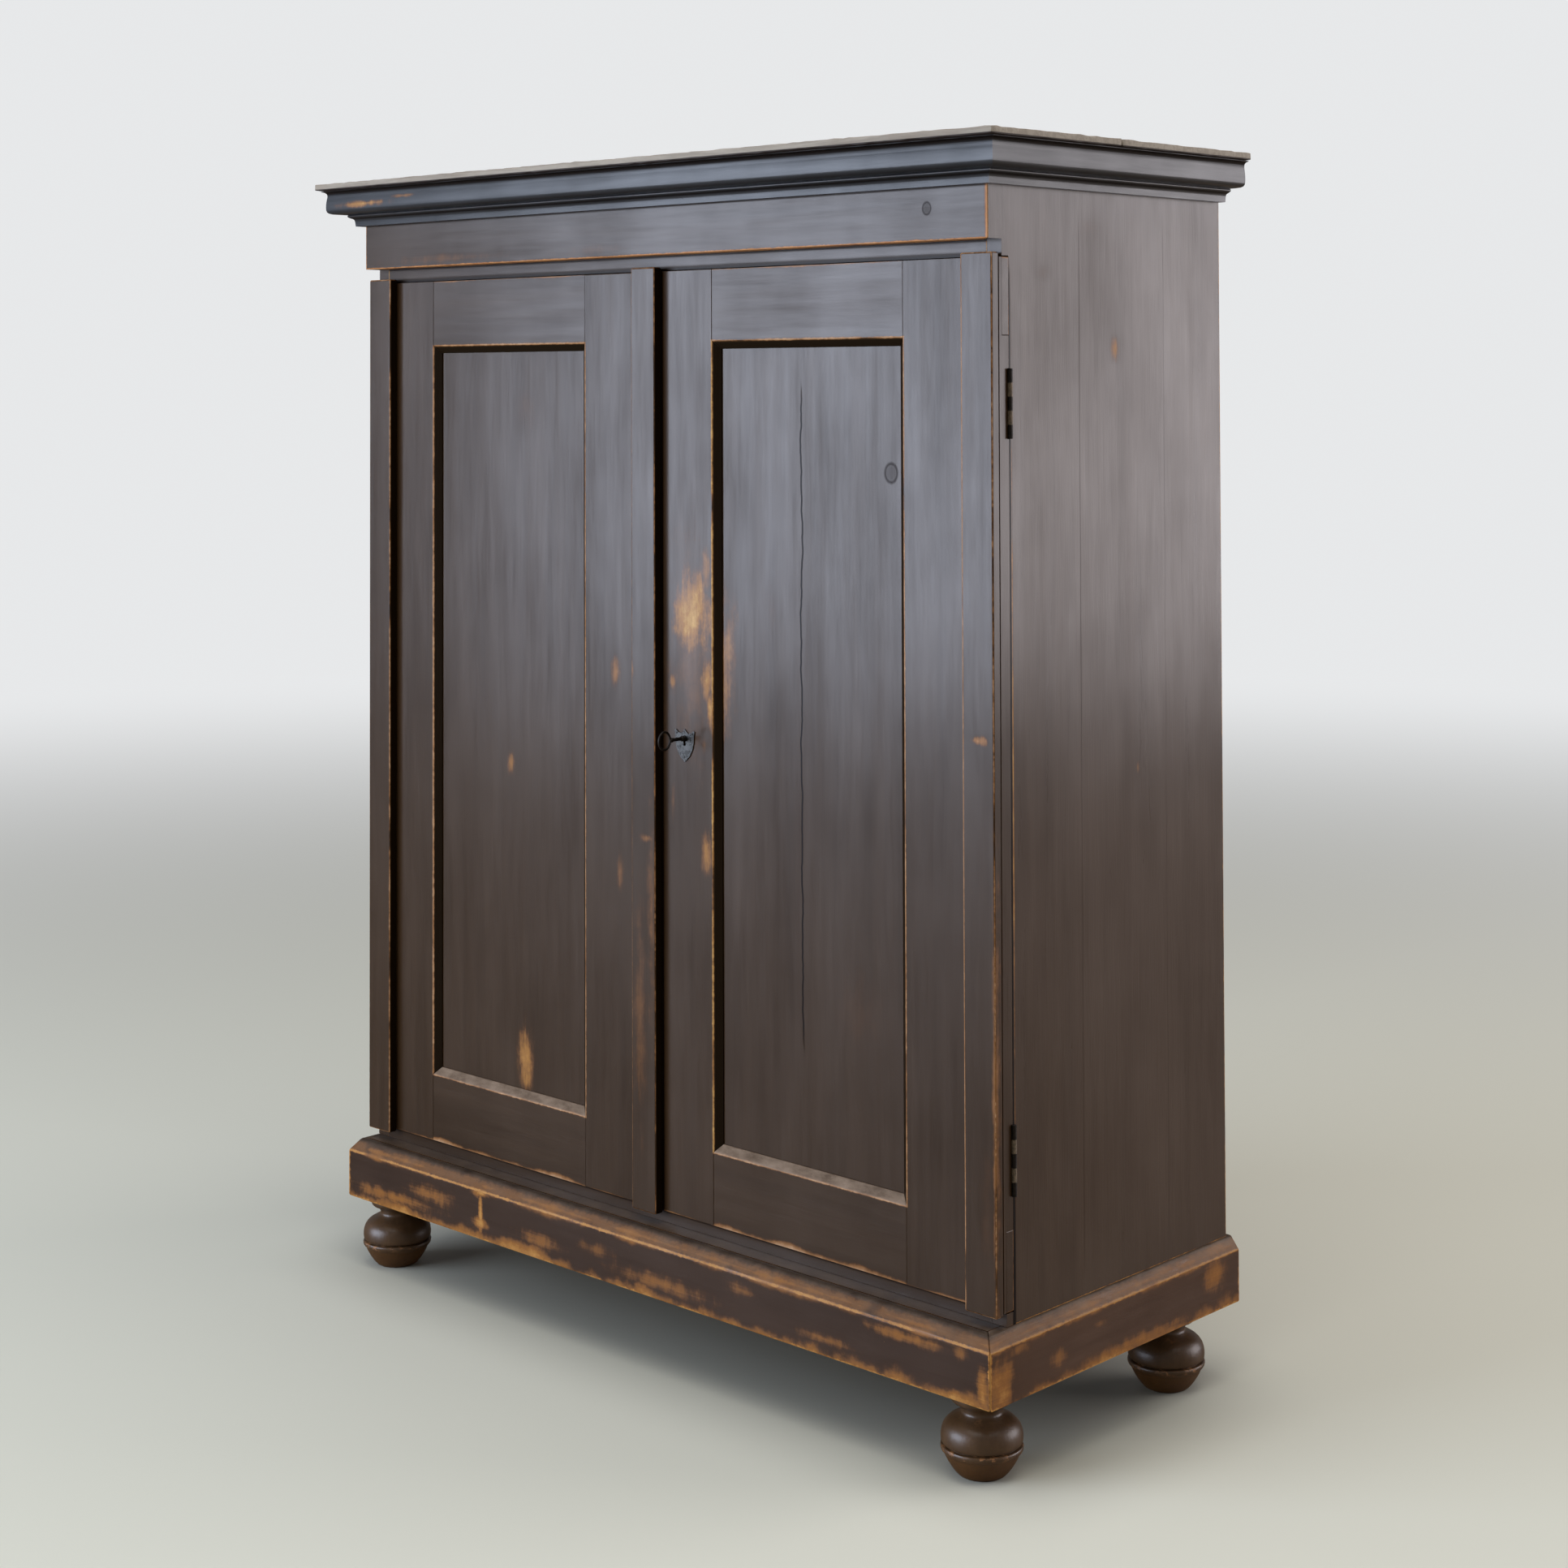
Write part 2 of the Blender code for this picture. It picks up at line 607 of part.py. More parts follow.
def bevel_tool(name, left, right, low, high):
    """A tapered block that bevels the front arris all round a door's opening."""
    slope = BEVEL_WIDTH / BEVEL_DEPTH
    tool = tool_box(name, (left, door_y - CUT_OVERRUN, low),
                    (right, door_y + BEVEL_DEPTH + CUT_OVERRUN, high))
    for vertex in tool.data.vertices:
        deep = vertex.co.y + tool.location.y - door_y
        vertex.co.x *= 1 - slope * deep / abs(vertex.co.x)
        vertex.co.z *= 1 - slope * deep / abs(vertex.co.z)
    return tool


def door_frame(hand, side, meet_x, hinge_stile, meeting_stile, hinge_tools):
    """A door's stiles, rails and panel. The rails lap behind the stiles and show at the door's edge."""
    name = hand + "_door_"
    hinge_edge = side * case_x
    hinge_joint = hinge_edge - side * hinge_stile
    meeting_joint = meet_x + side * meeting_stile
    left, right = sorted((hinge_joint, meeting_joint))
    low = door_z + DOOR_BOTTOM_RAIL
    high = door_top_z - DOOR_TOP_RAIL
    lap_y = door_back_y - RAIL_LAP_THICKNESS
    outer_left, outer_right = sorted((hinge_edge, meet_x))
    bevel = bevel_tool(name + "bevel_tool", left, right, low, high)
    inner = BEVEL_WIDTH - GROOVE_DEPTH
    groove_back_y = door_y + PANEL_SETBACK + PANEL_EDGE_THICKNESS + 2 * FIT
    groove = tool_box(name + "groove_tool", (left + inner, door_y + PANEL_SETBACK, low + inner),
                      (right - inner, groove_back_y, high - inner))
    laps = [
        tool_box(name + "top_lap_tool", (outer_left - CUT_OVERRUN, lap_y - FIT, high - FIT),
                 (outer_right + CUT_OVERRUN, door_back_y + CUT_OVERRUN, door_top_z + CUT_OVERRUN)),
        tool_box(name + "bottom_lap_tool", (outer_left - CUT_OVERRUN, lap_y - FIT, door_z - CUT_OVERRUN),
                 (outer_right + CUT_OVERRUN, door_back_y + CUT_OVERRUN, low + FIT)),
    ]
    pieces = []
    for label, edge, joint, extra in (("hinge_stile", hinge_edge, hinge_joint, hinge_tools),
                                      ("meeting_stile", meet_x, meeting_joint, [])):
        inward = BEVEL_WIDTH if joint == left else -BEVEL_WIDTH
        outline = (
            (edge, door_z), (joint, door_z), (joint, low + FIT), (joint + inward, low + FIT + BEVEL_WIDTH),
            (joint + inward, high - FIT - BEVEL_WIDTH), (joint, high - FIT), (joint, door_top_z),
            (edge, door_top_z),
        )
        stile = outline_piece(name + label, [outline], 'Y', door_y, door_back_y)
        cut(stile, *laps, bevel, groove, *extra)
        pieces.append(stile)
    shoulder_left = left + FIT
    shoulder_right = right - FIT
    for label, outside, inside in (("top_rail", door_top_z, high), ("bottom_rail", door_z, low)):
        edge_z = inside - BEVEL_WIDTH if outside > inside else inside + BEVEL_WIDTH
        outline = (
            (shoulder_left, outside), (shoulder_right, outside), (shoulder_right, inside),
            (shoulder_right - BEVEL_WIDTH, edge_z), (shoulder_left + BEVEL_WIDTH, edge_z),
            (shoulder_left, inside),
        )
        rail = outline_piece(name + label, [outline], 'Y', door_y, door_back_y)
        join(rail, board(name + label + "_lap", (outer_left, lap_y, inside),
                         (outer_right, door_back_y, outside)))
        cut(rail, bevel, groove)
        pieces.append(rail)
    edge = inner + FIT
    pieces.append(panel_board(name + "panel", left + edge, right - edge, low + edge, high - edge))
    return pieces


def strip(name, edge_x, other_x):
    """An applied upright strip, a little longer than the door that it is nailed to."""
    piece = board(name, (edge_x, strip_y, door_z - STRIP_DROP),
                  (other_x, door_y - FIT, door_top_z + STRIP_RISE))
    round_edges(piece, STRIP_EDGE_ROUND)
    return piece


# Hinges

knuckle_length = (HINGE_LENGTH - (KNUCKLE_COUNT - 1) * FIT) / KNUCKLE_COUNT
lower_hinge_z = door_z + DOOR_BOTTOM_RAIL + HINGE_BEYOND_RAIL
upper_hinge_z = door_top_z - DOOR_TOP_RAIL - HINGE_BEYOND_RAIL - HINGE_LENGTH


def hinge_recess_tools(hand, side):
    """The mortises for both leaves, and the round clearance for the knuckles, at both hinges."""
    depth = LEAF_THICKNESS + 2 * FIT
    plate_x = hinge_x - LEAF_WIDTH - FIT
    mortises = []
    hollows = []
    for foot_z in (lower_hinge_z, upper_hinge_z):
        low = foot_z - FIT
        high = foot_z + HINGE_LENGTH + FIT
        mortises.append(((side * plate_x, hinge_y - depth, low), (side * hinge_x, hinge_y + depth, high)))
        hollows.append((side * hinge_x, hinge_y, low, high))
    radius = (KNUCKLE_RADIUS + KNUCKLE_CLEARANCE) / cos(pi / KNUCKLE_STEPS)
    mortise_tool = make_cutter(boards(hand + "_hinge_mortises", mortises))
    knuckle_tool = make_cutter(rods(hand + "_knuckle_hollows", hollows, radius, KNUCKLE_STEPS))
    return [mortise_tool, knuckle_tool]


def hinge_leaf(name, side, foot_z, first_knuckle, near_y, far_y):
    """One leaf. Every second knuckle of the hinge is rolled on tabs that reach out from its edge."""
    plate_x = hinge_x - LEAF_WIDTH
    edge_x = hinge_x - KNUCKLE_RADIUS - 2 * KNUCKLE_CLEARANCE
    tab_x = hinge_x - KNUCKLE_RADIUS / 2 - FIT
    head_z = foot_z + HINGE_LENGTH
    corners = [(plate_x, foot_z)]
    if first_knuckle > 0:
        corners.append((edge_x, foot_z))
    barrels = []
    for number in range(first_knuckle, KNUCKLE_COUNT, 2):
        low = foot_z + number * (knuckle_length + FIT)
        high = low + knuckle_length
        barrels.append((side * hinge_x, hinge_y, low, high))
        if number > 0:
            corners.append((edge_x, low))
        corners += [(tab_x, low), (tab_x, high)]
        if number < KNUCKLE_COUNT - 1:
            corners.append((edge_x, high))
    if first_knuckle > 0:
        corners.append((edge_x, head_z))
    corners.append((plate_x, head_z))
    leaf = outline_piece(name, [[(side * x, z) for x, z in corners]], 'Y', near_y, far_y, DARK_IRON)
    join(leaf, rods(name + "_knuckles", barrels, KNUCKLE_RADIUS, KNUCKLE_STEPS))
    return leaf


def hinge(name, side, foot_z):
    """A butt hinge: a case leaf with the pin driven into its knuckles, and a door leaf that turns on it."""
    head_z = foot_z + HINGE_LENGTH
    fixed = hinge_leaf(name + "_case_leaf", side, foot_z, 0, stop_y, stop_y + LEAF_THICKNESS)
    join(fixed, rods(name + "_pin", [(side * hinge_x, hinge_y, foot_z + FIT, head_z - FIT)], PIN_RADIUS,
                     KNUCKLE_STEPS))
    moving = hinge_leaf(name + "_door_leaf", side, foot_z, 1, door_back_y - LEAF_THICKNESS, door_back_y)
    bore = rods(name + "_bore", [(side * hinge_x, hinge_y, foot_z - CUT_OVERRUN, head_z + CUT_OVERRUN)],
                (PIN_RADIUS + FIT) / cos(pi / KNUCKLE_STEPS), KNUCKLE_STEPS)
    cut(moving, make_cutter(bore))
    return moving


# Lock and key

left_meet_x = MEETING_OFFSET - MEETING_GAP / 2
right_meet_x = MEETING_OFFSET + MEETING_GAP / 2
key_x = right_meet_x + KEY_FROM_EDGE
key_z = door_z + KEY_HEIGHT
lock_x = right_meet_x + LOCK_EDGE_INSET
lock_y = door_back_y + FIT
lock_back_y = lock_y + LOCK_DEPTH
lock_bolt_y = lock_y + LOCK_WALL
lock_bolt_z = key_z + LOCK_BOLT_RISE


def spindle(name, x, z, near_y, far_y, radius, material=DARK_IRON):
    """A round rod that lies front to back, with its origin on its own axis."""
    shape = bmesh.new()
    bmesh.ops.create_cone(shape, cap_ends=True, segments=SHAFT_STEPS, radius1=radius, radius2=radius,
                          depth=far_y - near_y)
    mesh = bpy.data.meshes.new(name)
    shape.to_mesh(mesh)
    shape.free()
    smooth(mesh)
    return add_piece(name, mesh, material, (x, (near_y + far_y) / 2, z), (pi / 2, 0, 0))


def keyhole_tools(name, near_y, far_y):
    """A keyhole: a round top with a slot under it."""
    top = make_cutter(spindle(name + "_round", key_x, key_z, near_y, far_y, KEYHOLE_RADIUS))
    half = KEYHOLE_SLOT_WIDTH / 2
    slot = tool_box(name + "_slot", (key_x - half, near_y, key_z - KEYHOLE_SLOT_REACH),
                    (key_x + half, far_y, key_z))
    return top, slot


def escutcheon():
    """A shield of sheet iron, pinned over the keyhole."""
    top = key_z + ESCUTCHEON_ABOVE_KEY
    half = ESCUTCHEON_WIDTH / 2
    right_half = [(key_x + out * half, top - down * ESCUTCHEON_HEIGHT) for out, down in SHIELD_SHARES]
    left_half = [(2 * key_x - x, z) for x, z in reversed(right_half[1:-1])]
    back_y = door_y - FIT
    front_y = back_y - ESCUTCHEON_THICKNESS
    shield = outline_piece("escutcheon", [right_half + left_half], 'Y', front_y, back_y, GREY_IRON)
    cut(shield, *keyhole_tools("escutcheon_keyhole", front_y - CUT_OVERRUN, back_y + CUT_OVERRUN))
    return shield


def lock_case():
    """A rim lock's box, open against the door, with a slot for the bolt and a bush for the key's end."""
    low = key_z - LOCK_BELOW_KEY
    high = key_z + LOCK_ABOVE_KEY
    case = board("lock_case", (lock_x, lock_y, low), (lock_x + LOCK_WIDTH, lock_back_y, high), DARK_IRON)
    hollow = tool_box("lock_hollow", (lock_x + LOCK_WALL, lock_y - CUT_OVERRUN, low + LOCK_WALL),
                      (lock_x + LOCK_WIDTH - LOCK_WALL, lock_back_y - LOCK_WALL, high - LOCK_WALL))
    slot = tool_box("lock_bolt_slot", (lock_x - CUT_OVERRUN, lock_bolt_y - FIT, lock_bolt_z - FIT),
                    (lock_x + LOCK_WALL + CUT_OVERRUN, lock_bolt_y + LOCK_BOLT_THICKNESS + FIT,
                     lock_bolt_z + LOCK_BOLT_HEIGHT + FIT))
    bush = spindle("key_bush", key_x, key_z, lock_back_y - LOCK_WALL - CUT_OVERRUN,
                   lock_back_y + CUT_OVERRUN, (KEY_SHAFT_RADIUS + FIT) / cos(pi / SHAFT_STEPS))
    cut(case, hollow, slot, make_cutter(bush))
    return case


def lock_bolt():
    """The flat bolt, drawn back at rest."""
    near = (lock_x, lock_bolt_y, lock_bolt_z)
    size = (LOCK_BOLT_LENGTH, LOCK_BOLT_THICKNESS, LOCK_BOLT_HEIGHT)
    return board("lock_bolt", near, [start + length for start, length in zip(near, size)], GREY_IRON)


def lock_strike():
    """A keeper on the back of the left door, which the thrown bolt enters."""
    room = 2 * FIT
    near_x = left_meet_x - STRIKE_INSET
    far_x = near_x - STRIKE_WIDTH
    back_y = lock_bolt_y + LOCK_BOLT_THICKNESS + room
    low = lock_bolt_z - room
    high = lock_bolt_z + LOCK_BOLT_HEIGHT + room
    strike = board("lock_strike", (far_x, lock_y, low - STRIKE_WALL),
                   (near_x, back_y + STRIKE_WALL, high + STRIKE_WALL), DARK_IRON)
    passage = tool_box("strike_passage", (far_x - CUT_OVERRUN, lock_bolt_y - room, low),
                       (near_x + CUT_OVERRUN, back_y, high))
    cut(strike, passage)
    return strike


def key_bow(center_y):
    """The key's oval bow, a closed loop of wire that stands upright at rest."""
    curve = bpy.data.curves.new("key_bow", 'CURVE')
    curve.dimensions = '3D'
    curve.bevel_depth = KEY_WIRE_RADIUS
    curve.bevel_resolution = 1
    loop = curve.splines.new('POLY')
    loop.points.add(2 * SHAFT_STEPS - 1)
    for number, point in enumerate(loop.points):
        turn = number / len(loop.points) * 2 * pi
        y = center_y + KEY_BOW_HALF_DEPTH * cos(turn)
        z = key_z + KEY_BOW_HALF_HEIGHT * sin(turn)
        point.co = (key_x, y, z, 1)
    loop.use_cyclic_u = True
    shaped = bpy.data.objects.new("key_bow", curve)
    cutters.objects.link(shaped)
    mesh = bpy.data.meshes.new_from_object(shaped.evaluated_get(bpy.context.evaluated_depsgraph_get()))
    bpy.data.objects.remove(shaped)
    return add_piece("key_bow", mesh, DARK_IRON)


def key():
    """The key, in the lock with its bit down. The shaft's rear end turns in the lock's bush."""
    shaft_start_y = door_y - KEY_SHAFT_SHOW
    bit_back_y = lock_back_y - LOCK_WALL - LOCK_WALL
    shaft = spindle("key", key_x, key_z, shaft_start_y, lock_back_y, KEY_SHAFT_RADIUS)
    collar_y = door_y - KEY_COLLAR_LENGTH
    join(shaft, spindle("key_collar", key_x, key_z, collar_y - KEY_COLLAR_LENGTH, collar_y,
                        KEY_COLLAR_RADIUS))
    join(shaft, key_bow(shaft_start_y - KEY_BOW_HALF_DEPTH))
    half = KEY_BIT_THICKNESS / 2
    join(shaft, board("key_bit", (key_x - half, bit_back_y - KEY_BIT_LENGTH, key_z - KEY_BIT_REACH),
                      (key_x + half, bit_back_y, key_z)))
    return shaft


# Slide bolts inside the left door

def slide_bolts():
    """Two flat bolts in staples, both drawn back at rest, and the sockets they reach in the rails."""
    bar_x = left_meet_x - BOLT_FROM_EDGE
    half = BOLT_WIDTH / 2
    plate_y = door_back_y + FIT
    bar_y = plate_y + BOLT_PLATE_THICKNESS + FIT
    bar_back_y = bar_y + BOLT_THICKNESS
    pieces = []
    sockets = []
    plate_half = BOLT_PLATE_WIDTH / 2
    rows = (
        ("upper", 1, top_rail_z - STOP_HEIGHT - BOLT_STOP_CLEARANCE),
        ("lower", -1, floor_z + BOLT_STOP_CLEARANCE),
    )
    for row, outward, tip_z in rows:
        plate_end = tip_z - outward * BOLT_PLATE_SETBACK
        plate_start = plate_end - outward * BOLT_PLATE_LENGTH
        plate = board(row + "_bolt_plate", (bar_x - plate_half, plate_y, plate_start),
                      (bar_x + plate_half, plate_y + BOLT_PLATE_THICKNESS, plate_end), DARK_IRON)
        side = half + FIT + STAPLE_WALL
        staples = [((bar_x - side, plate_y + BOLT_PLATE_THICKNESS / 2, end - outward * STAPLE_LENGTH),
                    (bar_x + side, bar_back_y + FIT + STAPLE_WALL, end))
                   for end in (plate_end - outward * FIT, plate_start + outward * (STAPLE_LENGTH + FIT))]
        join(plate, boards(row + "_bolt_staples", staples))
        cut(plate, tool_box(row + "_bolt_channel",
                            (bar_x - half - FIT, bar_y - 2 * FIT, plate_start - outward * CUT_OVERRUN),
                            (bar_x + half + FIT, bar_back_y + FIT, plate_end + outward * CUT_OVERRUN)))
        reach = tip_z + outward * (BOLT_THROW + BOLT_STOP_CLEARANCE)
        sockets.append(tool_box(row + "_bolt_socket", (bar_x - half - 2 * FIT, bar_y - 2 * FIT, tip_z),
                                (bar_x + half + 2 * FIT, bar_back_y + 2 * FIT, reach)))
        bar = board(row + "_bolt", (bar_x - half, bar_y, tip_z),
                    (bar_x + half, bar_back_y, tip_z - outward * BOLT_LENGTH), GREY_IRON)
        knob_z = (plate_start + plate_end) / 2 - outward * BOLT_THROW / 2
        join(bar, spindle(row + "_bolt_knob", bar_x, knob_z, (bar_y + bar_back_y) / 2,
                          bar_back_y + BOLT_KNOB_LENGTH, BOLT_KNOB_RADIUS))
        pieces += [plate, bar]
    return pieces, sockets


def hang(pieces, name, place):
    """Parent a moving group to an empty on its hinge's axis, without moving it."""
    axis = bpy.data.objects.new(name, None)
    axis.location = place
    cupboard.objects.link(axis)
    bpy.context.view_layer.update()
    for piece in pieces:
        piece.parent = axis
        piece.matrix_parent_inverse = axis.matrix_world.inverted()


# The cupboard, from the case outwards

left_hinge_tools = hinge_recess_tools("left", -1)
right_hinge_tools = hinge_recess_tools("right", 1)
left_mitres = mitre_tools("left_mitre", -1, case_x, frieze_y, 2 * ROOF_FRONT_OVERHANG)
right_mitres = mitre_tools("right_mitre", 1, case_x, frieze_y, 2 * ROOF_FRONT_OVERHANG)

side_panel("side_left", -1, left_mitres[1], left_hinge_tools)
side_panel("side_right", 1, right_mitres[1], right_hinge_tools)
top_rail, bottom_rail = case_rails()
frieze = board("frieze", (-case_x, frieze_y, frieze_z), (case_x, rail_y - FIT, roof_z - FIT))
cut(frieze, left_mitres[0], right_mitres[0])
cornice(left_mitres, right_mitres)
roof()
back_boards()
shelves()
plinth()
feet()

left_door = door_frame("left", -1, left_meet_x, LEFT_HINGE_STILE, LEFT_MEETING_STILE, left_hinge_tools)
left_door.append(strip("left_corner_strip", -case_x, CORNER_STRIP_WIDTH - case_x))
left_door.append(strip("meeting_strip", left_meet_x, left_meet_x - MEETING_STRIP_WIDTH))
left_door.append(lock_strike())
bolt_pieces, bolt_sockets = slide_bolts()
left_door += bolt_pieces
cut(top_rail, bolt_sockets[0])
cut(bottom_rail, bolt_sockets[1])

right_door = door_frame("right", 1, right_meet_x, RIGHT_HINGE_STILE, RIGHT_MEETING_STILE, right_hinge_tools)
cut(right_door[1], *keyhole_tools("door_keyhole", door_y - CUT_OVERRUN, door_back_y + CUT_OVERRUN))
right_door.append(strip("right_corner_strip", case_x, case_x - CORNER_STRIP_WIDTH))
right_door += [escutcheon(), lock_case(), lock_bolt(), key()]

for hand, side, door in (("left", -1, left_door), ("right", 1, right_door)):
    door.append(hinge(hand + "_lower_hinge", side, lower_hinge_z))
    door.append(hinge(hand + "_upper_hinge", side, upper_hinge_z))
    hang(door, hand + "_door_axis", (side * hinge_x, hinge_y, door_z))
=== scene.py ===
import math

import bpy
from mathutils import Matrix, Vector


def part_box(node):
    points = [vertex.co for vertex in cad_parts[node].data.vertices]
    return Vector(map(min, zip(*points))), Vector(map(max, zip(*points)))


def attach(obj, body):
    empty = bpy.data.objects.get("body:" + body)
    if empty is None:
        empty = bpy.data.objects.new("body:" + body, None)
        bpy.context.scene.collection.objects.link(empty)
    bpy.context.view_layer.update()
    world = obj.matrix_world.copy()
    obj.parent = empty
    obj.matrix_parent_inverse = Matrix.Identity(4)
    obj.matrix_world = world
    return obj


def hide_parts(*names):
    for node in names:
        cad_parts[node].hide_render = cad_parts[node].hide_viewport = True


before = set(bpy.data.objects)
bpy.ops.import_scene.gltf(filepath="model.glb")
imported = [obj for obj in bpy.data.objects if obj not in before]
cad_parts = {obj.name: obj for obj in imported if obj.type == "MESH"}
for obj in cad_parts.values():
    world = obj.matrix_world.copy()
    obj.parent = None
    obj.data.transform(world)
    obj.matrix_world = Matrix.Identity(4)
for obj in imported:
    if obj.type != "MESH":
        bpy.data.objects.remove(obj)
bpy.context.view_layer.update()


# Studio
# A plain pale floor that runs out to a plain pale backdrop, and soft light: two tall panels that the
# satin paint mirrors, one for the front and one for the side, a wide one overhead and a pale room.
camera_data = bpy.data.cameras.new("photo_camera")
camera_data.sensor_width = 36
camera_data.lens = 60.85
camera_data.shift_y = -0.2988
camera_data.clip_end = 60
camera = bpy.data.objects.new("photo_camera", camera_data)
camera.location = (2.8305, -2.92245, 1.4223)
camera.rotation_euler = (math.pi / 2 + 0.0255, 0.0031, 0.7584)
bpy.context.scene.collection.objects.link(camera)
bpy.context.scene.camera = camera
bpy.context.scene.view_settings.view_transform = 'Standard'


def set_inputs(tree, made, values):
    """Sets a node's sockets, by name or number, to plain values or to what other sockets put out."""
    for key, value in values.items():
        if isinstance(value, bpy.types.NodeSocket):
            tree.links.new(value, made.inputs[key])
        else:
            made.inputs[key].default_value = value
    return made


def add_node(tree, kind, values=None, **settings):
    """One shader node, with its settings and its sockets filled in."""
    made = tree.nodes.new(kind)
    for key, value in settings.items():
        setattr(made, key, value)
    return set_inputs(tree, made, values or {})


def calc(tree, operation, *values):
    """A Math node, and its answer."""
    return add_node(tree, "ShaderNodeMath", dict(enumerate(values)), operation=operation).outputs[0]


def product(tree, first, *others):
    """Values multiplied together."""
    for other in others:
        first = calc(tree, 'MULTIPLY', first, other)
    return first


def split_xyz(tree, vector):
    """The three numbers of a vector."""
    return add_node(tree, "ShaderNodeSeparateXYZ", {0: vector}).outputs


def length_of(tree, vector):
    """The length of a vector."""
    return add_node(tree, "ShaderNodeVectorMath", {0: vector}, operation='LENGTH').outputs["Value"]


def fade(tree, value, start, end):
    """1 where the value is at or below start, falling smoothly to 0 at end."""
    return add_node(tree, "ShaderNodeMapRange",
                    {"Value": value, "From Min": start, "From Max": end, "To Min": 1, "To Max": 0},
                    interpolation_type='SMOOTHSTEP').outputs[0]


def blend_colours(tree, amount, first, second):
    """Mixes two colours."""
    mix = tree.nodes.new("ShaderNodeMix")
    mix.data_type = 'RGBA'
    return set_inputs(tree, mix, {0: amount, 6: first, 7: second}).outputs[2]


def deselect():
    """Nothing stays selected but what the next operator makes."""
    bpy.ops.object.select_all(action='DESELECT')


FLOOR_SIZE = 60
FLOOR_COLOUR = (0.67, 0.67, 0.57, 1)
FLOOR_ROUGHNESS = 0.55
NEAR_FLOOR, FAR_FLOOR = 1.6, 9.0
# the floor colour that glossy rays see: painted shade in the reflections of the floor
MIRRORED_SHADE_COLOUR = (0.24, 0.175, 0.115, 1)
ROOM_COLOUR = (0.80, 0.81, 0.82, 1)
# the painted shadow under the cupboard: where it starts to fade and where it has gone, to each side and to
# front and back
FLOOR_SHADOW_SIDES = (0.55, 0.85)
FLOOR_SHADOW_ENDS = (0.08, 0.42)
FLOOR_SHADOW_AMOUNT = 0.70
FLOOR_SHADOW_COLOUR = (0.045, 0.042, 0.030, 1)
deselect()
bpy.ops.mesh.primitive_plane_add(size=FLOOR_SIZE)
floor = bpy.context.object
floor.name = "studio_floor"
floor_finish = bpy.data.materials.new("studio_floor")
floor_finish.use_nodes = True
tree = floor_finish.node_tree
shader = tree.nodes["Principled BSDF"]
shader.inputs["Roughness"].default_value = FLOOR_ROUGHNESS
# The floor is darker under the cupboard and a little way round it: a painted shadow. Glossy rays see a
# darker floor colour than the camera does: painted shade in the paint's reflection of the floor. Seen by
# the camera, the far floor turns into the room's own pale colour, and the near floor keeps its shadows.
place = tree.nodes.new("ShaderNodeTexCoord").outputs["Object"]
sides = split_xyz(tree, place)
painted_floor_shadow = product(tree, fade(tree, calc(tree, 'ABSOLUTE', sides[0]), *FLOOR_SHADOW_SIDES),
                  fade(tree, calc(tree, 'ABSOLUTE', sides[1]), *FLOOR_SHADOW_ENDS), FLOOR_SHADOW_AMOUNT)
ground = blend_colours(tree, painted_floor_shadow, FLOOR_COLOUR, FLOOR_SHADOW_COLOUR)
rays = tree.nodes.new("ShaderNodeLightPath").outputs
mirrored = blend_colours(tree, rays["Is Glossy Ray"], ground, MIRRORED_SHADE_COLOUR)
set_inputs(tree, shader, {"Base Color": mirrored})
far = calc(tree, 'SUBTRACT', 1, fade(tree, length_of(tree, place), NEAR_FLOOR, FAR_FLOOR))
seen = calc(tree, 'MULTIPLY', far, rays["Is Camera Ray"])
pale = add_node(tree, "ShaderNodeEmission", {"Color": ROOM_COLOUR, "Strength": 1})
mixed = add_node(tree, "ShaderNodeMixShader", {0: seen, 1: shader.outputs[0], 2: pale.outputs[0]})
tree.links.new(mixed.outputs[0], tree.nodes["Material Output"].inputs[0])
floor.data.materials.append(floor_finish)

ROOM_LIGHT = (0.98, 0.97, 1, 1)
ROOM_STRENGTH = 0.20
room = bpy.data.worlds.new("pale_room")
bpy.context.scene.world = room
room.use_nodes = True
tree = room.node_tree
tree.nodes.clear()
rays = tree.nodes.new("ShaderNodeLightPath")
shown = add_node(tree, "ShaderNodeBackground", {"Color": ROOM_COLOUR, "Strength": 1})
lighting = add_node(tree, "ShaderNodeBackground", {"Color": ROOM_LIGHT, "Strength": ROOM_STRENGTH})
mixed = add_node(tree, "ShaderNodeMixShader", {0: rays.outputs["Is Camera Ray"], 1: lighting.outputs[0],
                                               2: shown.outputs[0]})
add_node(tree, "ShaderNodeOutputWorld", {0: mixed.outputs[0]})

# name, place, the point that it faces, width, height, watts and colour
PANELS = (
    ("front_panel", (-3.0, -5.4, 1.87), (0, -0.2, 1.1), 4.6, 3.4, 505, (0.73, 0.82, 1.0)),
    ("side_panel", (4.3, 4.6, 1.92), (0.65, 0, 1.1), 4.2, 3.3, 235, (0.98, 0.93, 0.97)),
    ("top_panel", (0.9, -0.6, 4.4), (0.3, -0.1, 0), 4.0, 4.0, 130, (1.0, 0.97, 0.94)),
)
for name, place, aim, width, height, power, colour in PANELS:
    light = bpy.data.lights.new(name, 'AREA')
    light.shape = 'RECTANGLE'
    light.size = width
    light.size_y = height
    light.energy = power
    light.color = colour
    lamp = bpy.data.objects.new(name, light)
    lamp.location = place
    lamp.rotation_euler = (Vector(aim) - Vector(place)).to_track_quat('-Z', 'Y').to_euler()
    bpy.context.scene.collection.objects.link(lamp)


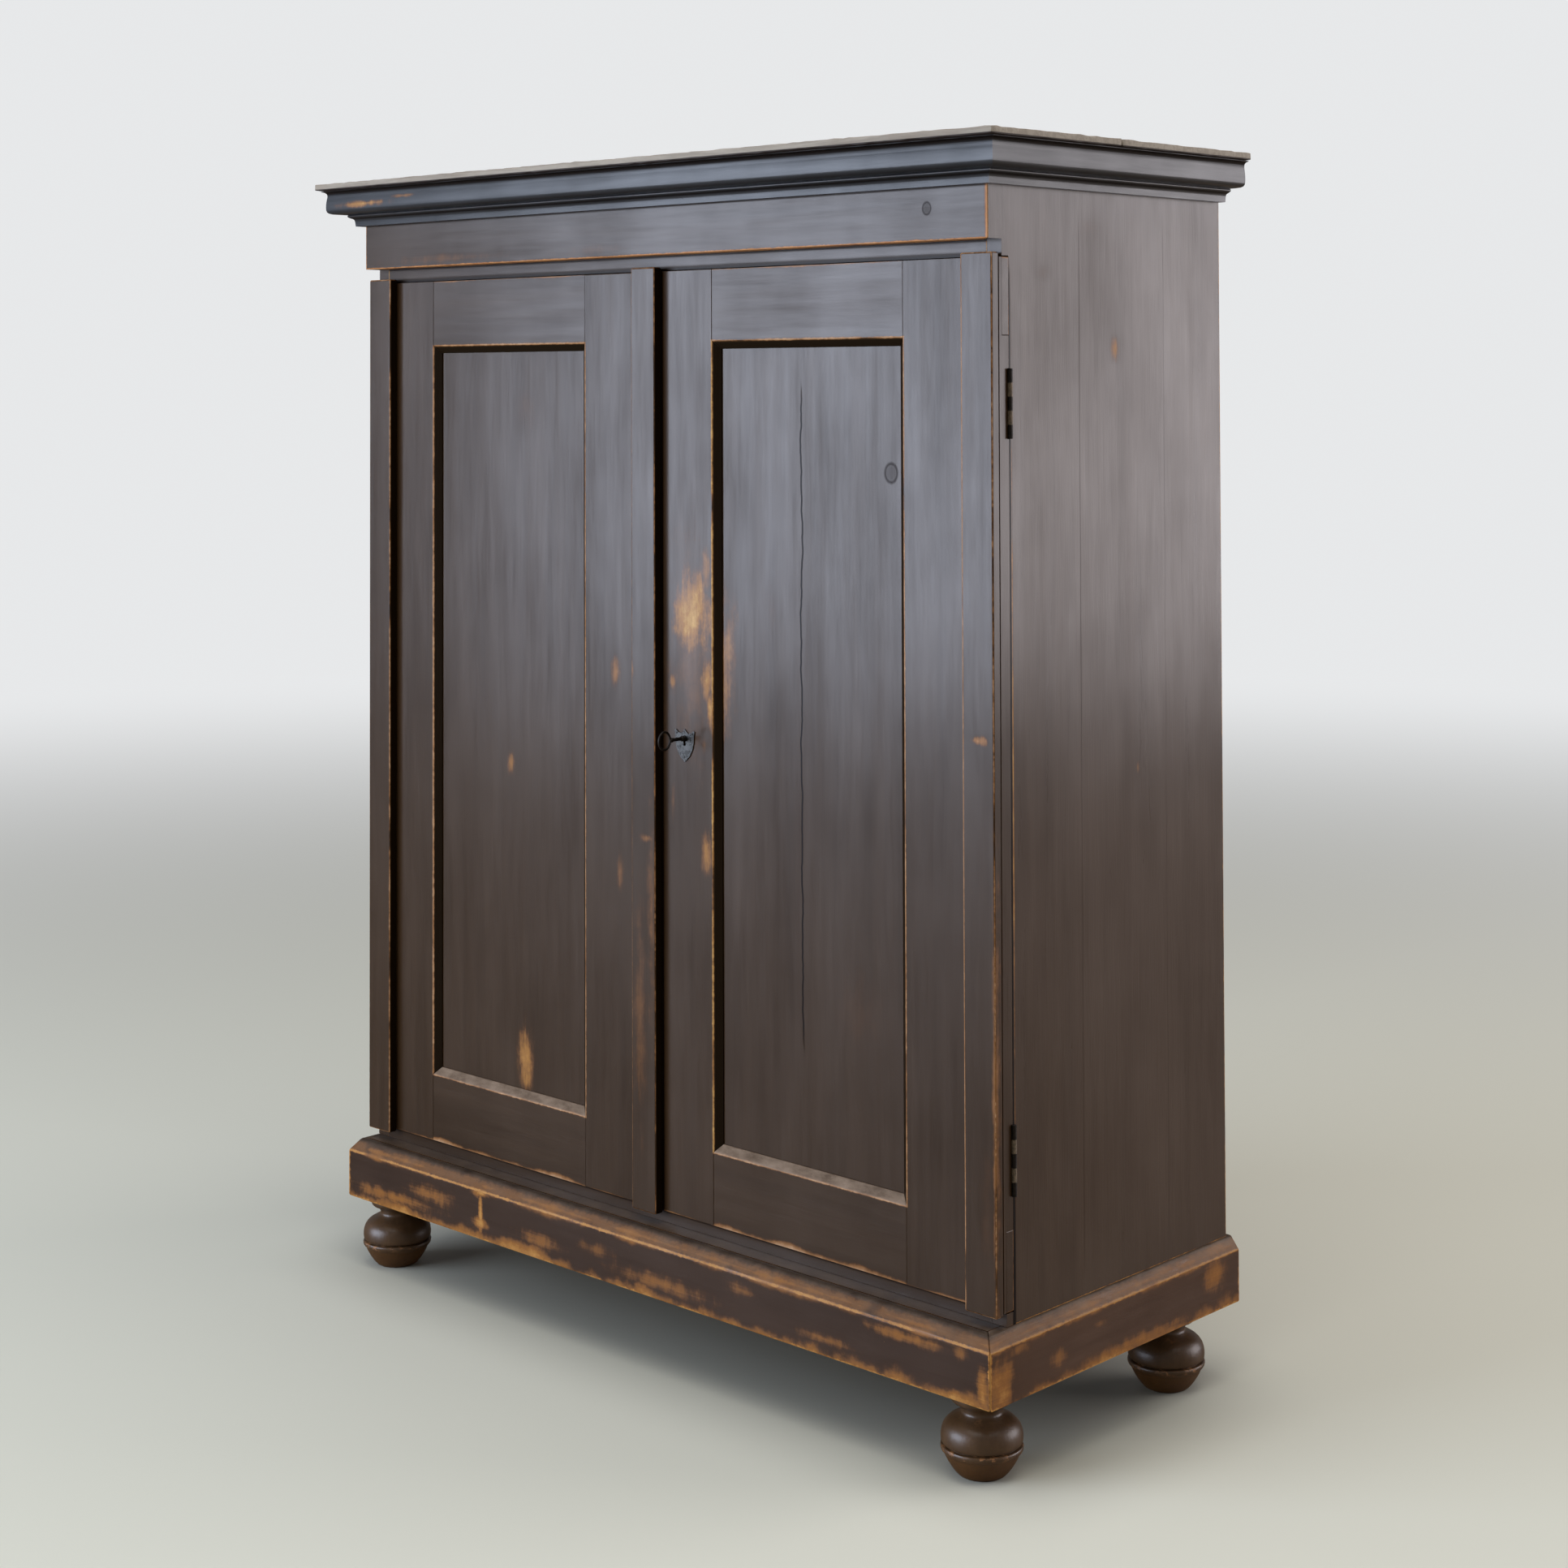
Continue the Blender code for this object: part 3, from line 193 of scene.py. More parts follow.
# Feet
# Four bun feet turned from pine, varnished dark brown, each with a ring turned into its widest part.
# A spigot on top, out of sight, holds each one in its corner block.
def new_group(name, inputs, outputs):
    """An empty shader node group with named sockets. Returns it with its input and output nodes."""
    group = bpy.data.node_groups.new(name, 'ShaderNodeTree')
    for label, kind, value in inputs:
        socket = group.interface.new_socket(label, in_out='INPUT', socket_type="NodeSocket" + kind)
        socket.default_value = value
    for label in outputs:
        group.interface.new_socket(label, in_out='OUTPUT', socket_type="NodeSocketFloat")
    return group, group.nodes.new("NodeGroupInput").outputs, group.nodes.new("NodeGroupOutput")


def vector_calc(tree, operation, *values):
    """A Vector Math node, and its answer."""
    return add_node(tree, "ShaderNodeVectorMath", dict(enumerate(values)), operation=operation).outputs[0]


def rise(tree, value, start, end):
    """0 where the value is at or below start, rising smoothly to 1 at end."""
    return calc(tree, 'SUBTRACT', 1, fade(tree, value, start, end))


def swing(tree, value, amount, middle=0.5):
    """Turns noise round its middle into plus and minus, times an amount."""
    return calc(tree, 'MULTIPLY', calc(tree, 'SUBTRACT', value, middle), amount)


def distance_from(tree, value, level):
    """How far a value is from a level, either way."""
    return calc(tree, 'ABSOLUTE', calc(tree, 'SUBTRACT', value, level))


def scaled_noise(tree, point, scale, detail, roughness=0.5):
    """Noise on a point that is stretched by a scale along each axis. It lies between 0 and 1."""
    if isinstance(scale, (int, float)):
        scale = (scale, scale, scale)
    return add_node(tree, "ShaderNodeTexNoise", {
        "Vector": vector_calc(tree, 'MULTIPLY', point, scale), "Scale": 1, "Detail": detail,
        "Roughness": roughness}).outputs["Fac"]


# Grain: long soft streaks and fine pores, both stretched along the board
GRAIN_DRIFT = 0.03
grain_group, given, result = new_group("pine grain", (
    ("Point", "Vector", (0, 0, 0)), ("Broad", "Vector", (40, 40, 1.5)), ("Fine", "Vector", (500, 500, 9)),
), ("Streaks", "Pores"))
tree = grain_group
drift = add_node(tree, "ShaderNodeTexNoise", {"Vector": given["Point"], "Scale": 3, "Detail": 2})
pulled = add_node(tree, "ShaderNodeVectorMath", {0: drift.outputs["Color"], "Scale": GRAIN_DRIFT},
                  operation='SCALE')
bent = vector_calc(tree, 'ADD', given["Point"], pulled.outputs[0])
set_inputs(tree, result, {
    "Streaks": scaled_noise(tree, bent, given["Broad"], detail=5, roughness=0.6),
    "Pores": scaled_noise(tree, bent, given["Fine"], detail=3),
})

# Patches rubbed through the paint by hands, keys and feet
patch_group, given, result = new_group("rubbed patch", (
    ("Point", "Vector", (0, 0, 0)), ("Centre", "Vector", (0, 0, 0)), ("Size", "Vector", (0.02, 0.02, 0.05)),
    ("Streaks", "Vector", (260, 260, 14)), ("Amount", "Float", 1),
), ("Mask",))
tree = patch_group
away = vector_calc(tree, 'SUBTRACT', given["Point"], given["Centre"])
reach = length_of(tree, vector_calc(tree, 'DIVIDE', away, given["Size"]))
cloudy = scaled_noise(tree, given["Point"], (45, 45, 22), detail=5, roughness=0.65)
streaky = scaled_noise(tree, given["Point"], given["Streaks"], detail=3, roughness=0.6)
ragged = calc(tree, 'ADD', reach, swing(tree, cloudy, 2.4))
ragged = calc(tree, 'ADD', ragged, swing(tree, streaky, 0.8))
set_inputs(tree, result, {"Mask": product(tree, fade(tree, ragged, -0.2, 1.7), given["Amount"])})


def place_group(tree, group, values):
    """A node group in a material, with its own values."""
    made = tree.nodes.new("ShaderNodeGroup")
    made.node_tree = group
    return set_inputs(tree, made, values).outputs


def start_finish(name):
    """A new material. Returns it with its nodes, its shader and the point on the object."""
    finish = bpy.data.materials.new(name)
    finish.use_nodes = True
    tree = finish.node_tree
    point = tree.nodes.new("ShaderNodeTexCoord").outputs["Object"]
    return finish, tree, tree.nodes["Principled BSDF"], point


GRAIN_AXES = {
    'X': ((1.5, 40, 40), (9, 500, 500)),
    'Y': ((40, 1.5, 40), (500, 9, 500)),
    'Z': ((40, 40, 1.5), (500, 500, 9)),
}


def wood_grain(tree, point, axis):
    """The streaks and pores of pine whose grain runs along an axis."""
    broad, fine = GRAIN_AXES[axis]
    return place_group(tree, grain_group, {"Point": point, "Broad": broad, "Fine": fine})


def wood_surface(tree, shader, point, axis, worn, height, gloss, worn_gloss):
    """Roughness and relief of a painted or varnished board. Returns its grain."""
    grain = wood_grain(tree, point, axis)
    sheen = calc(tree, 'ADD', gloss, swing(tree, grain["Streaks"], 0.16))
    rough = add_node(tree, "ShaderNodeMix", {0: worn, 2: sheen, 3: worn_gloss}).outputs[0]
    lift = calc(tree, 'ADD', product(tree, grain["Pores"], 0.5), product(tree, grain["Streaks"], 1.2))
    lift = calc(tree, 'SUBTRACT', lift, product(tree, worn, 0.7))
    relief = add_node(tree, "ShaderNodeBump", {"Strength": height, "Distance": 0.0008, "Height": lift})
    set_inputs(tree, shader, {"Roughness": rough, "Normal": relief.outputs[0]})
    return grain


def turn(name, rings, steps, start, along, finish, smooth):
    """A solid of revolution on a straight axis, drawn out ring by ring.

    A ring is (radius, distance from the start). Along is the axis, one unit long, on X, Y or Z. Edges that
    turn by less than smooth, in degrees, are shaded smooth.
    """
    spread = Vector([0 if part else 1 for part in along])
    deselect()
    bpy.ops.mesh.primitive_circle_add(
        vertices=steps, radius=rings[0][0], fill_type='NGON', location=start + along * rings[0][1],
        rotation=along.to_track_quat('Z', 'Y').to_euler())
    made = bpy.context.object
    bpy.ops.object.mode_set(mode='EDIT')
    bpy.ops.mesh.select_all(action='SELECT')
    for (radius, far), (next_radius, next_far) in zip(rings, rings[1:]):
        bpy.ops.mesh.extrude_region_move(TRANSFORM_OT_translate={"value": along * (next_far - far)})
        size = next_radius / radius
        bpy.ops.transform.resize(value=spread * size + Vector([abs(part) for part in along]),
                                 center_override=start + along * next_far)
    bpy.ops.mesh.select_all(action='SELECT')
    bpy.ops.mesh.normals_make_consistent(inside=False)
    bpy.ops.object.mode_set(mode='OBJECT')
    bpy.ops.object.transform_apply(location=True, rotation=True, scale=True)
    bpy.ops.object.shade_smooth_by_angle(angle=math.radians(smooth))
    made.name = name
    made.data.materials.append(finish)
    return made


RING_Z = 0.036
BELOW_RING_Z = 0.026
VARNISH_DARK, VARNISH_LIGHT = (0.016, 0.008, 0.0035, 1), (0.100, 0.052, 0.022, 1)
LOW_VARNISH_DARK, LOW_VARNISH_LIGHT = (0.030, 0.011, 0.002, 1), (0.085, 0.036, 0.009, 1)
RUBBED_FOOT = (0.26, 0.115, 0.040, 1)
SPLIT_COLOUR = (0.025, 0.003, 0.002, 1)
SPLIT_PLACE, SPLIT_SIZE = (0.6638, -0.2048, 0.031), (0.006, 0.0035, 0.006)
foot_finish, tree, shader, point = start_finish("turned_foot")
level = split_xyz(tree, point)[2]
near_ring = fade(tree, distance_from(tree, level, RING_Z), 0.001, 0.007)
scuffs = scaled_noise(tree, point, (90, 90, 110), detail=5, roughness=0.7)
specks = product(tree, rise(tree, scuffs, 0.52, 0.66), near_ring)
scrapes = rise(tree, scaled_noise(tree, point, (30, 30, 45), detail=6, roughness=0.75), 0.60, 0.78)
worn = calc(tree, 'MAXIMUM', specks, product(tree, scrapes, 0.6))
grain = wood_surface(tree, shader, point, 'Z', worn, height=0.5, gloss=0.36, worn_gloss=0.5)
cloudy = scaled_noise(tree, point, (45, 45, 55), detail=5, roughness=0.7)
tone = calc(tree, 'ADD', product(tree, grain["Streaks"], 0.6), product(tree, cloudy, 0.6))
varnish = blend_colours(tree, calc(tree, 'SUBTRACT', tone, 0.1), VARNISH_DARK, VARNISH_LIGHT)
low_varnish = blend_colours(tree, tone, LOW_VARNISH_DARK, LOW_VARNISH_LIGHT)
varnish = blend_colours(tree, fade(tree, level, BELOW_RING_Z, RING_Z), varnish, low_varnish)
split = place_group(tree, patch_group, {"Point": point, "Centre": SPLIT_PLACE, "Size": SPLIT_SIZE})["Mask"]
varnish = blend_colours(tree, split, varnish, SPLIT_COLOUR)
set_inputs(tree, shader, {"Base Color": blend_colours(tree, worn, varnish, RUBBED_FOOT)})
shader.inputs["Specular IOR Level"].default_value = 0.4

FOOT_CORNERS = ("front_left", "front_right", "rear_left", "rear_right")
FOOT_STEPS = 64
FOOT_SMOOTH = 40
# radius and height of each ring, in metres, from the collar down
FOOT_RINGS = (
    (0.0395, 0.1067), (0.0412, 0.1062), (0.0418, 0.1045), (0.0418, 0.1005), (0.0412, 0.0970), (0.0390, 0.0947),
    (0.0352, 0.0926), (0.0312, 0.0902), (0.0282, 0.0872), (0.0268, 0.0840), (0.0268, 0.0812), (0.0286, 0.0786),
    (0.0330, 0.0762), (0.0388, 0.0738), (0.0442, 0.0706), (0.0484, 0.0667), (0.0514, 0.0622), (0.0532, 0.0570),
    (0.0540, 0.0520), (0.0541, 0.0475), (0.0537, 0.0440), (0.0528, 0.0420), (0.0513, 0.0411), (0.0494, 0.0408),
    (0.0489, 0.0401), (0.0495, 0.0394), (0.0517, 0.0391), (0.0536, 0.0386), (0.0544, 0.0374), (0.0545, 0.0358),
    (0.0541, 0.0335), (0.0530, 0.0316), (0.0512, 0.0303), (0.0494, 0.0268), (0.0472, 0.0220), (0.0444, 0.0170),
    (0.0412, 0.0120), (0.0378, 0.0074), (0.0345, 0.0036), (0.0320, 0.0012), (0.0300, 0.0000),
)
for corner in FOOT_CORNERS:
    low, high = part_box("foot_" + corner)
    middle = (low + high) / 2
    foot = turn("turned_foot_" + corner, FOOT_RINGS, FOOT_STEPS, Vector((middle.x, middle.y, 0)),
                Vector((0, 0, 1)), foot_finish, FOOT_SMOOTH)
    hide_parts("foot_" + corner)
    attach(foot, "case")


# Corner blocks
# Rough pine blocks glued into the plinth's corners, bored for the feet. They are bare wood, as are the
# shelves, the back and the roof.
STAIN_COLOUR = (0.13, 0.085, 0.05, 1)
DARK_BELOW_COLOUR = (0.020, 0.010, 0.006, 1)
DARK_BELOW_FADE = 0.0007


def bare_pine(name, axis, dark, light, seed, dark_below=None):
    """Old bare pine with its grain along one axis, darker below a level if one is given."""
    finish, tree, shader, point = start_finish(name)
    spot = vector_calc(tree, 'ADD', point, (seed, seed * 0.7, seed * 1.3))
    grain = wood_grain(tree, spot, axis)
    waves = calc(tree, 'SINE', product(tree, grain["Streaks"], 38))
    rings = calc(tree, 'ADD', 0.5, product(tree, waves, 0.28))
    tone = calc(tree, 'ADD', product(tree, rings, 0.55), product(tree, grain["Pores"], 0.45))
    pine = blend_colours(tree, tone, dark, light)
    stains = scaled_noise(tree, spot, 3.5, detail=5, roughness=0.6)
    grime_and_shade = product(tree, rise(tree, stains, 0.45, 0.70), 0.45)
    pine = blend_colours(tree, grime_and_shade, pine, STAIN_COLOUR)
    # Darker below the given level, with a ragged edge
    if dark_below:
        level = calc(tree, 'ADD', split_xyz(tree, point)[2], product(tree, stains, 0.0012))
        pine = blend_colours(tree, fade(tree, level, dark_below, dark_below + DARK_BELOW_FADE), pine, DARK_BELOW_COLOUR)
    relief = add_node(tree, "ShaderNodeBump", {"Strength": 0.4, "Distance": 0.0008, "Height": tone})
    set_inputs(tree, shader, {"Base Color": pine, "Roughness": 0.72, "Normal": relief.outputs[0]})
    return finish


def dress(node_name, finish):
    """Puts a finish on a piece that the frame brings."""
    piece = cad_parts[node_name]
    piece.data.materials.clear()
    piece.data.materials.append(finish)
    return piece


block_finish = bare_pine("corner_block_pine", 'Z', (0.20, 0.115, 0.055, 1), (0.42, 0.27, 0.14, 1), 3.1)
for corner in FOOT_CORNERS:
    dress("corner_block_" + corner, block_finish)


# Plinth
# Four chamfered boards, mitred at the front, and a flat ledge board behind the front one. Brooms and
# feet have worn their paint back to orange pine along every edge.
PAINT_DARK, PAINT_LIGHT = (0.0185, 0.0092, 0.0038, 1), (0.0480, 0.0240, 0.0092, 1)
GOLDEN_WOODS = ((0.27, 0.125, 0.032), (0.47, 0.285, 0.095))
RUB_EDGES = ((0.0, (0.045, 0.017, 0.008)), (0.30, (0.14, 0.058, 0.018)))
INSIDE_DARK, INSIDE_LIGHT = (0.17, 0.090, 0.036, 1), (0.44, 0.265, 0.12, 1)
# the crease and recess colours are painted shade, and the dust colour is dust with a painted sheen
CREASE_SHADE_COLOUR = (0.006, 0.003, 0.0018, 1)
CRACK_COLOUR = (0.004, 0.002, 0.0015, 1)
KNOT_COLOUR = (0.008, 0.004, 0.003, 1)
RECESS_SHADE_COLOUR = (0.0085, 0.0042, 0.0013, 1)
DUST_AND_SHEEN_COLOUR = (0.205, 0.148, 0.105, 1)
# ranges over which a mask fades: y behind an opening's outline, x at the outer end of the painted shade in a
# gap, noise where a line of wear is broken and where paint is speckled, wear that bares the pine, and the
# way a face looks, for dust and painted sheen on top and for bare pine inside
OPENING_BACK = (-0.208, -0.203)
SHADE_SIDES = (0.630, 0.638)
LINE_GAPS = (0.24, 0.46)
SPECKS = (0.64, 0.76)
BARED = (0.02, 0.50)
LOOKS_UP = (0.25, 0.6)
LOOKS_IN = (0.5, 0.8)
STREAK_AXES = {'X': (14, 260, 260), 'Y': (260, 14, 260), 'Z': (260, 260, 14)}
BAND_SHARES = (0.45, 0.35, 0.20)
BAND_AXES = {
    'X': ((1.5, 13, 13), (5, 75, 75), (16, 240, 240)),
    'Y': ((13, 1.5, 13), (75, 5, 75), (240, 16, 240)),
    'Z': ((13, 13, 1.5), (75, 75, 5), (240, 240, 16)),
}


def broken_line(tree, given, away, chip_scale, gap_scale, line_fade, gap_fade):
    """A line of wear, chipped and with gaps. Away is how far a point is from it."""
    chips = scaled_noise(tree, given["Point"], chip_scale, detail=4, roughness=0.65)
    gaps = scaled_noise(tree, given["Point"], gap_scale, detail=3, roughness=0.6)
    shifted = calc(tree, 'ADD', away, swing(tree, chips, given["Ragged"]))
    line = fade(tree, calc(tree, 'DIVIDE', shifted, given["Width"]), *line_fade)
    return product(tree, line, rise(tree, gaps, *gap_fade), given["Amount"])


# Arrises of a board, found from the box that it fills
BOX_INPUTS = (
    ("Point", "Vector", (0, 0, 0)), ("Low", "Vector", (0, 0, 0)), ("High", "Vector", (1, 1, 1)),
    ("Width", "Float", 0.002), ("Ragged", "Float", 0.003), ("Amount", "Float", 1),
)
arris_group, given, result = new_group("worn arrises", BOX_INPUTS, ("Mask",))
tree = arris_group
below = vector_calc(tree, 'SUBTRACT', given["Point"], given["Low"])
above = vector_calc(tree, 'SUBTRACT', given["High"], given["Point"])
depth = split_xyz(tree, vector_calc(tree, 'MINIMUM', below, above))
least = calc(tree, 'MINIMUM', depth[0], depth[1])
most = calc(tree, 'MAXIMUM', depth[0], depth[1])
edge = calc(tree, 'MAXIMUM', least, calc(tree, 'MINIMUM', most, depth[2]))
set_inputs(tree, result, {"Mask": broken_line(tree, given, edge, 130, 14, (0.2, 1.2), (0.30, 0.56))})

# The outline of an opening, or of any box seen from the front, on the pieces round it
outline_group, given, result = new_group("worn outline", BOX_INPUTS, ("Mask",))
tree = outline_group
total = vector_calc(tree, 'ADD', given["Low"], given["High"])
centre = add_node(tree, "ShaderNodeVectorMath", {0: total, "Scale": 0.5}, operation='SCALE').outputs[0]
half = vector_calc(tree, 'SUBTRACT', given["High"], centre)
away = vector_calc(tree, 'ABSOLUTE', vector_calc(tree, 'SUBTRACT', given["Point"], centre))
past = split_xyz(tree, vector_calc(tree, 'SUBTRACT', away, half))
edge = calc(tree, 'ABSOLUTE', calc(tree, 'MAXIMUM', past[0], past[2]))
set_inputs(tree, result, {"Mask": broken_line(tree, given, edge, 150, 11, (0, 1.4), (0.22, 0.52))})


def colour_ramp(tree, value, stops):
    """A ramp of (position, colour) stops."""
    ramp = add_node(tree, "ShaderNodeValToRGB", {"Fac": value})
    elements = ramp.color_ramp.elements
    while len(elements) < len(stops):
        elements.new(1)
    for element, (position, colour) in zip(elements, stops):
        element.position = position
        element.color = (*colour, 1)
    return ramp.outputs[0]


def clamped(tree, value):
    """A value kept between 0 and 1."""
    return add_node(tree, "ShaderNodeClamp", {0: value, 1: 0, 2: 1}).outputs[0]


def worn_through(tree, point, places, axis, box, arris=0.002, ragged=0.003, amount=0.8, arris_end=None,
                 openings=(), patches=(), lines=(), rubs=(), scuffed=0.25):
    """Where paint has worn off a board, along its arrises up to the y of arris_end and in other places.

    An opening is (low corner, high corner, width, ragged, amount) and a patch is (centre, size, amount). A
    line is (axis number, level, width, ragged, amount) and a rub, which has a lumpy edge, is (axis number,
    level, reach, amount). Scuffed is the strength of the small specks all over.
    """
    low, high = box
    worn = place_group(tree, arris_group, {"Point": point, "Low": low, "High": high, "Width": arris,
                                           "Ragged": ragged, "Amount": amount})["Mask"]
    if arris_end is not None:
        worn = product(tree, worn, fade(tree, places[1], arris_end - 0.002, arris_end))
    masks = []
    for corner, opposite, width, rough_edge, strength in openings:
        mask = place_group(tree, outline_group, {
            "Point": point, "Low": corner, "High": opposite, "Width": width, "Ragged": rough_edge,
            "Amount": strength})["Mask"]
        masks.append(product(tree, mask, fade(tree, places[1], *OPENING_BACK)))
    for centre, size, strength in patches:
        masks.append(place_group(tree, patch_group, {"Point": point, "Centre": centre, "Size": size,
                                                     "Streaks": STREAK_AXES[axis], "Amount": strength})["Mask"])
    if lines:
        chips = scaled_noise(tree, point, 90, detail=5, roughness=0.7)
        unbroken = rise(tree, scaled_noise(tree, point, 9, detail=3, roughness=0.6), *LINE_GAPS)
    for number, level, width, rough_edge, strength in lines:
        away = calc(tree, 'ADD', distance_from(tree, places[number], level), swing(tree, chips, rough_edge))
        masks.append(product(tree, fade(tree, away, 0.2 * width, 1.2 * width), unbroken, strength))
    for number, level, reach, strength in rubs:
        lumps = swing(tree, scaled_noise(tree, point, 13, detail=5, roughness=0.62), 3.6, 0.37)
        away = calc(tree, 'DIVIDE', distance_from(tree, places[number], level), reach)
        masks.append(product(tree, fade(tree, calc(tree, 'SUBTRACT', away, lumps), -1.0, 0.7), strength))
    specks = rise(tree, scaled_noise(tree, point, (75, 75, 40), detail=6, roughness=0.8), *SPECKS)
    for mask in masks + [product(tree, specks, scuffed)]:
        worn = calc(tree, 'MAXIMUM', worn, mask)
    return worn


def crack_mask(tree, point, places, number, level, foot_z, head_z, width, sway, amount):
    """A crack that sways up a board and closes at both ends."""
    drift = scaled_noise(tree, point, (0, 0, 7), detail=4, roughness=0.6)
    away = calc(tree, 'SUBTRACT', places[number], calc(tree, 'ADD', level, swing(tree, drift, sway)))
    split = fade(tree, calc(tree, 'ABSOLUTE', away), 0.4 * width, width)
    middle, half = (foot_z + head_z) / 2, (head_z - foot_z) / 2
    return product(tree, split, fade(tree, distance_from(tree, places[2], middle), half * 0.9, half), amount)


def knot_mask(tree, places, x, z, radius):
    """A knot: a dark ring round a fainter core, a little higher than it is wide."""
    across = calc(tree, 'SUBTRACT', places[0], x)
    along = product(tree, calc(tree, 'SUBTRACT', places[2], z), 0.85)
    away = calc(tree, 'SQRT', calc(tree, 'ADD', product(tree, across, across), product(tree, along, along)))
    ring = fade(tree, distance_from(tree, away, 0.85 * radius), 0, 0.3 * radius)
    core = product(tree, fade(tree, away, 0.5 * radius, radius), 0.4)
    return calc(tree, 'MAXIMUM', product(tree, ring, 0.75), core)


def recess_shade_mask(tree, places, upward, start, end):
    """Painted shade in a gap or recess over a range of y, but not on upper faces or past the gap's outer end.
    """
    past_start = rise(tree, places[1], start, start + 0.0015)
    before_end = fade(tree, places[1], end, end + 0.001)
    between = fade(tree, calc(tree, 'ABSOLUTE', places[0]), *SHADE_SIDES)
    return product(tree, past_start, before_end, calc(tree, 'SUBTRACT', 1, upward), between)


def painted(name, node_name, axis, grime_and_shade=(), cracks=(), knots=(), shade=None, dust_and_sheen=0, bare=None,
            streaks=0.9, gloss=0.32, dark=PAINT_DARK, light=PAINT_LIGHT, woods=GOLDEN_WOODS, **wear):
    """Dark waxed paint on a pine board, worn as worn_through says, with dark marks, dust and painted shade.

    Grime and shade, black and soft, is (axis number, level, reach, amount): painted shade in creases and
    under overhangs, with grime. A crack is (axis number, level, low z, high z, width, sway, amount) and a
    knot is (x, z, radius). Shade is the range of y where the paint is black: painted shade in recesses and
    gaps. Dust and sheen lies on upper faces: dust, and a painted sheen where they face the light. Bare is
    the (axis number, way) that the faces inside the cupboard look, which were never painted. Streaks is how
    much the wax varies along the board, and woods are the two palest colours of the pine where the paint
    has worn off.
    """
    finish, tree, shader, point = start_finish(name)
    places = split_xyz(tree, point)
    worn = worn_through(tree, point, places, axis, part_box(node_name), **wear)
    grain = wood_surface(tree, shader, point, axis, worn, height=0.42, gloss=gloss, worn_gloss=0.5)
    cloudy = scaled_noise(tree, point, (5, 5, 3), detail=4, roughness=0.6)
    bands = -0.5
    for scale, share in zip(BAND_AXES[axis], BAND_SHARES):
        band = scaled_noise(tree, point, scale, detail=3, roughness=0.6)
        bands = calc(tree, 'ADD', bands, product(tree, band, share))
    tone = calc(tree, 'ADD', product(tree, grain["Streaks"], 0.5), product(tree, cloudy, 0.6))
    tone = calc(tree, 'ADD', calc(tree, 'SUBTRACT', tone, 0.12), product(tree, bands, 0.7))
    paint = blend_colours(tree, tone, dark, light)
    mottle = calc(tree, 'ADD', 0.30, scaled_noise(tree, point, 55, detail=5, roughness=0.7))
    mottle = calc(tree, 'ADD', mottle, product(tree, grain["Pores"], 0.35))
    wood = colour_ramp(tree, product(tree, worn, mottle), RUB_EDGES + ((0.60, woods[0]), (0.92, woods[1])))
    shown = blend_colours(tree, fade(tree, worn, *BARED), wood, paint)
    wax = calc(tree, 'ADD', 0.37, product(tree, bands, streaks))
    wax = calc(tree, 'ADD', wax, swing(tree, cloudy, 0.6))
    wax = calc(tree, 'SUBTRACT', wax, product(tree, worn, 0.35))

    marks = []
    # Grime with painted shade: dark along a level, in creases and under overhangs
    for number, level, reach, amount in grime_and_shade:
        away = distance_from(tree, places[number], level)
        marks.append((product(tree, fade(tree, away, 0.1 * reach, reach), amount), CREASE_SHADE_COLOUR, 1))
    marks += [(crack_mask(tree, point, places, *crack), CRACK_COLOUR, 1) for crack in cracks]
    marks += [(knot_mask(tree, places, *knot), KNOT_COLOUR, 0.5) for knot in knots]
    facing = split_xyz(tree, tree.nodes.new("ShaderNodeTexCoord").outputs["Normal"])
    upward = rise(tree, facing[2], *LOOKS_UP)
    # Painted shade: the faces of recesses and gaps turn black
    if shade:
        marks.append((recess_shade_mask(tree, places, upward, *shade), RECESS_SHADE_COLOUR, 1))
    # Upper faces are lightened: dust, and a painted sheen where they face the light
    if dust_and_sheen:
        film = product(tree, scaled_noise(tree, point, (24, 24, 60), detail=5, roughness=0.7), 2.2)
        marks.append((clamped(tree, product(tree, swing(tree, film, dust_and_sheen, 0.35), upward)), DUST_AND_SHEEN_COLOUR, 1))
    if bare:
        number, way = bare
        pine = calc(tree, 'ADD', product(tree, grain["Streaks"], 0.7), product(tree, cloudy, 0.5))
        pine = blend_colours(tree, calc(tree, 'SUBTRACT', pine, 0.1), INSIDE_DARK, INSIDE_LIGHT)
        marks.append((rise(tree, product(tree, facing[number], way), *LOOKS_IN), pine, 1))
    for mask, colour, dulled in marks:
        shown = blend_colours(tree, mask, shown, colour)
        wax = calc(tree, 'SUBTRACT', wax, product(tree, mask, dulled))
    set_inputs(tree, shader, {"Base Color": shown, "Coat Weight": clamped(tree, wax), "Coat Roughness": 0.23,
                              "Specular IOR Level": 0.10})
    return finish


def patches_on(axis, level, depth, *spots):
    """Rubbed patches on a face square to X or Y. A spot is (across, z, half width, half height, amount)."""
    if axis == 'X':
        return tuple(((level, y, z), (depth, wide, high), amount) for y, z, wide, high, amount in spots)
    return tuple(((x, level, z), (wide, depth, high), amount) for x, z, wide, high, amount in spots)


def soften(piece, width):
    """Breaks the arrises of a piece that the frame brings, as its bevel modifier shows them."""
    weld = piece.modifiers.new("weld", 'WELD')
    weld.merge_threshold = 0.00002
    bevel = piece.modifiers.new("worn arrises", 'BEVEL')
    bevel.width = width
    bevel.segments = 2
    bevel.limit_method = 'ANGLE'
    bevel.angle_limit = math.radians(35)
    return piece


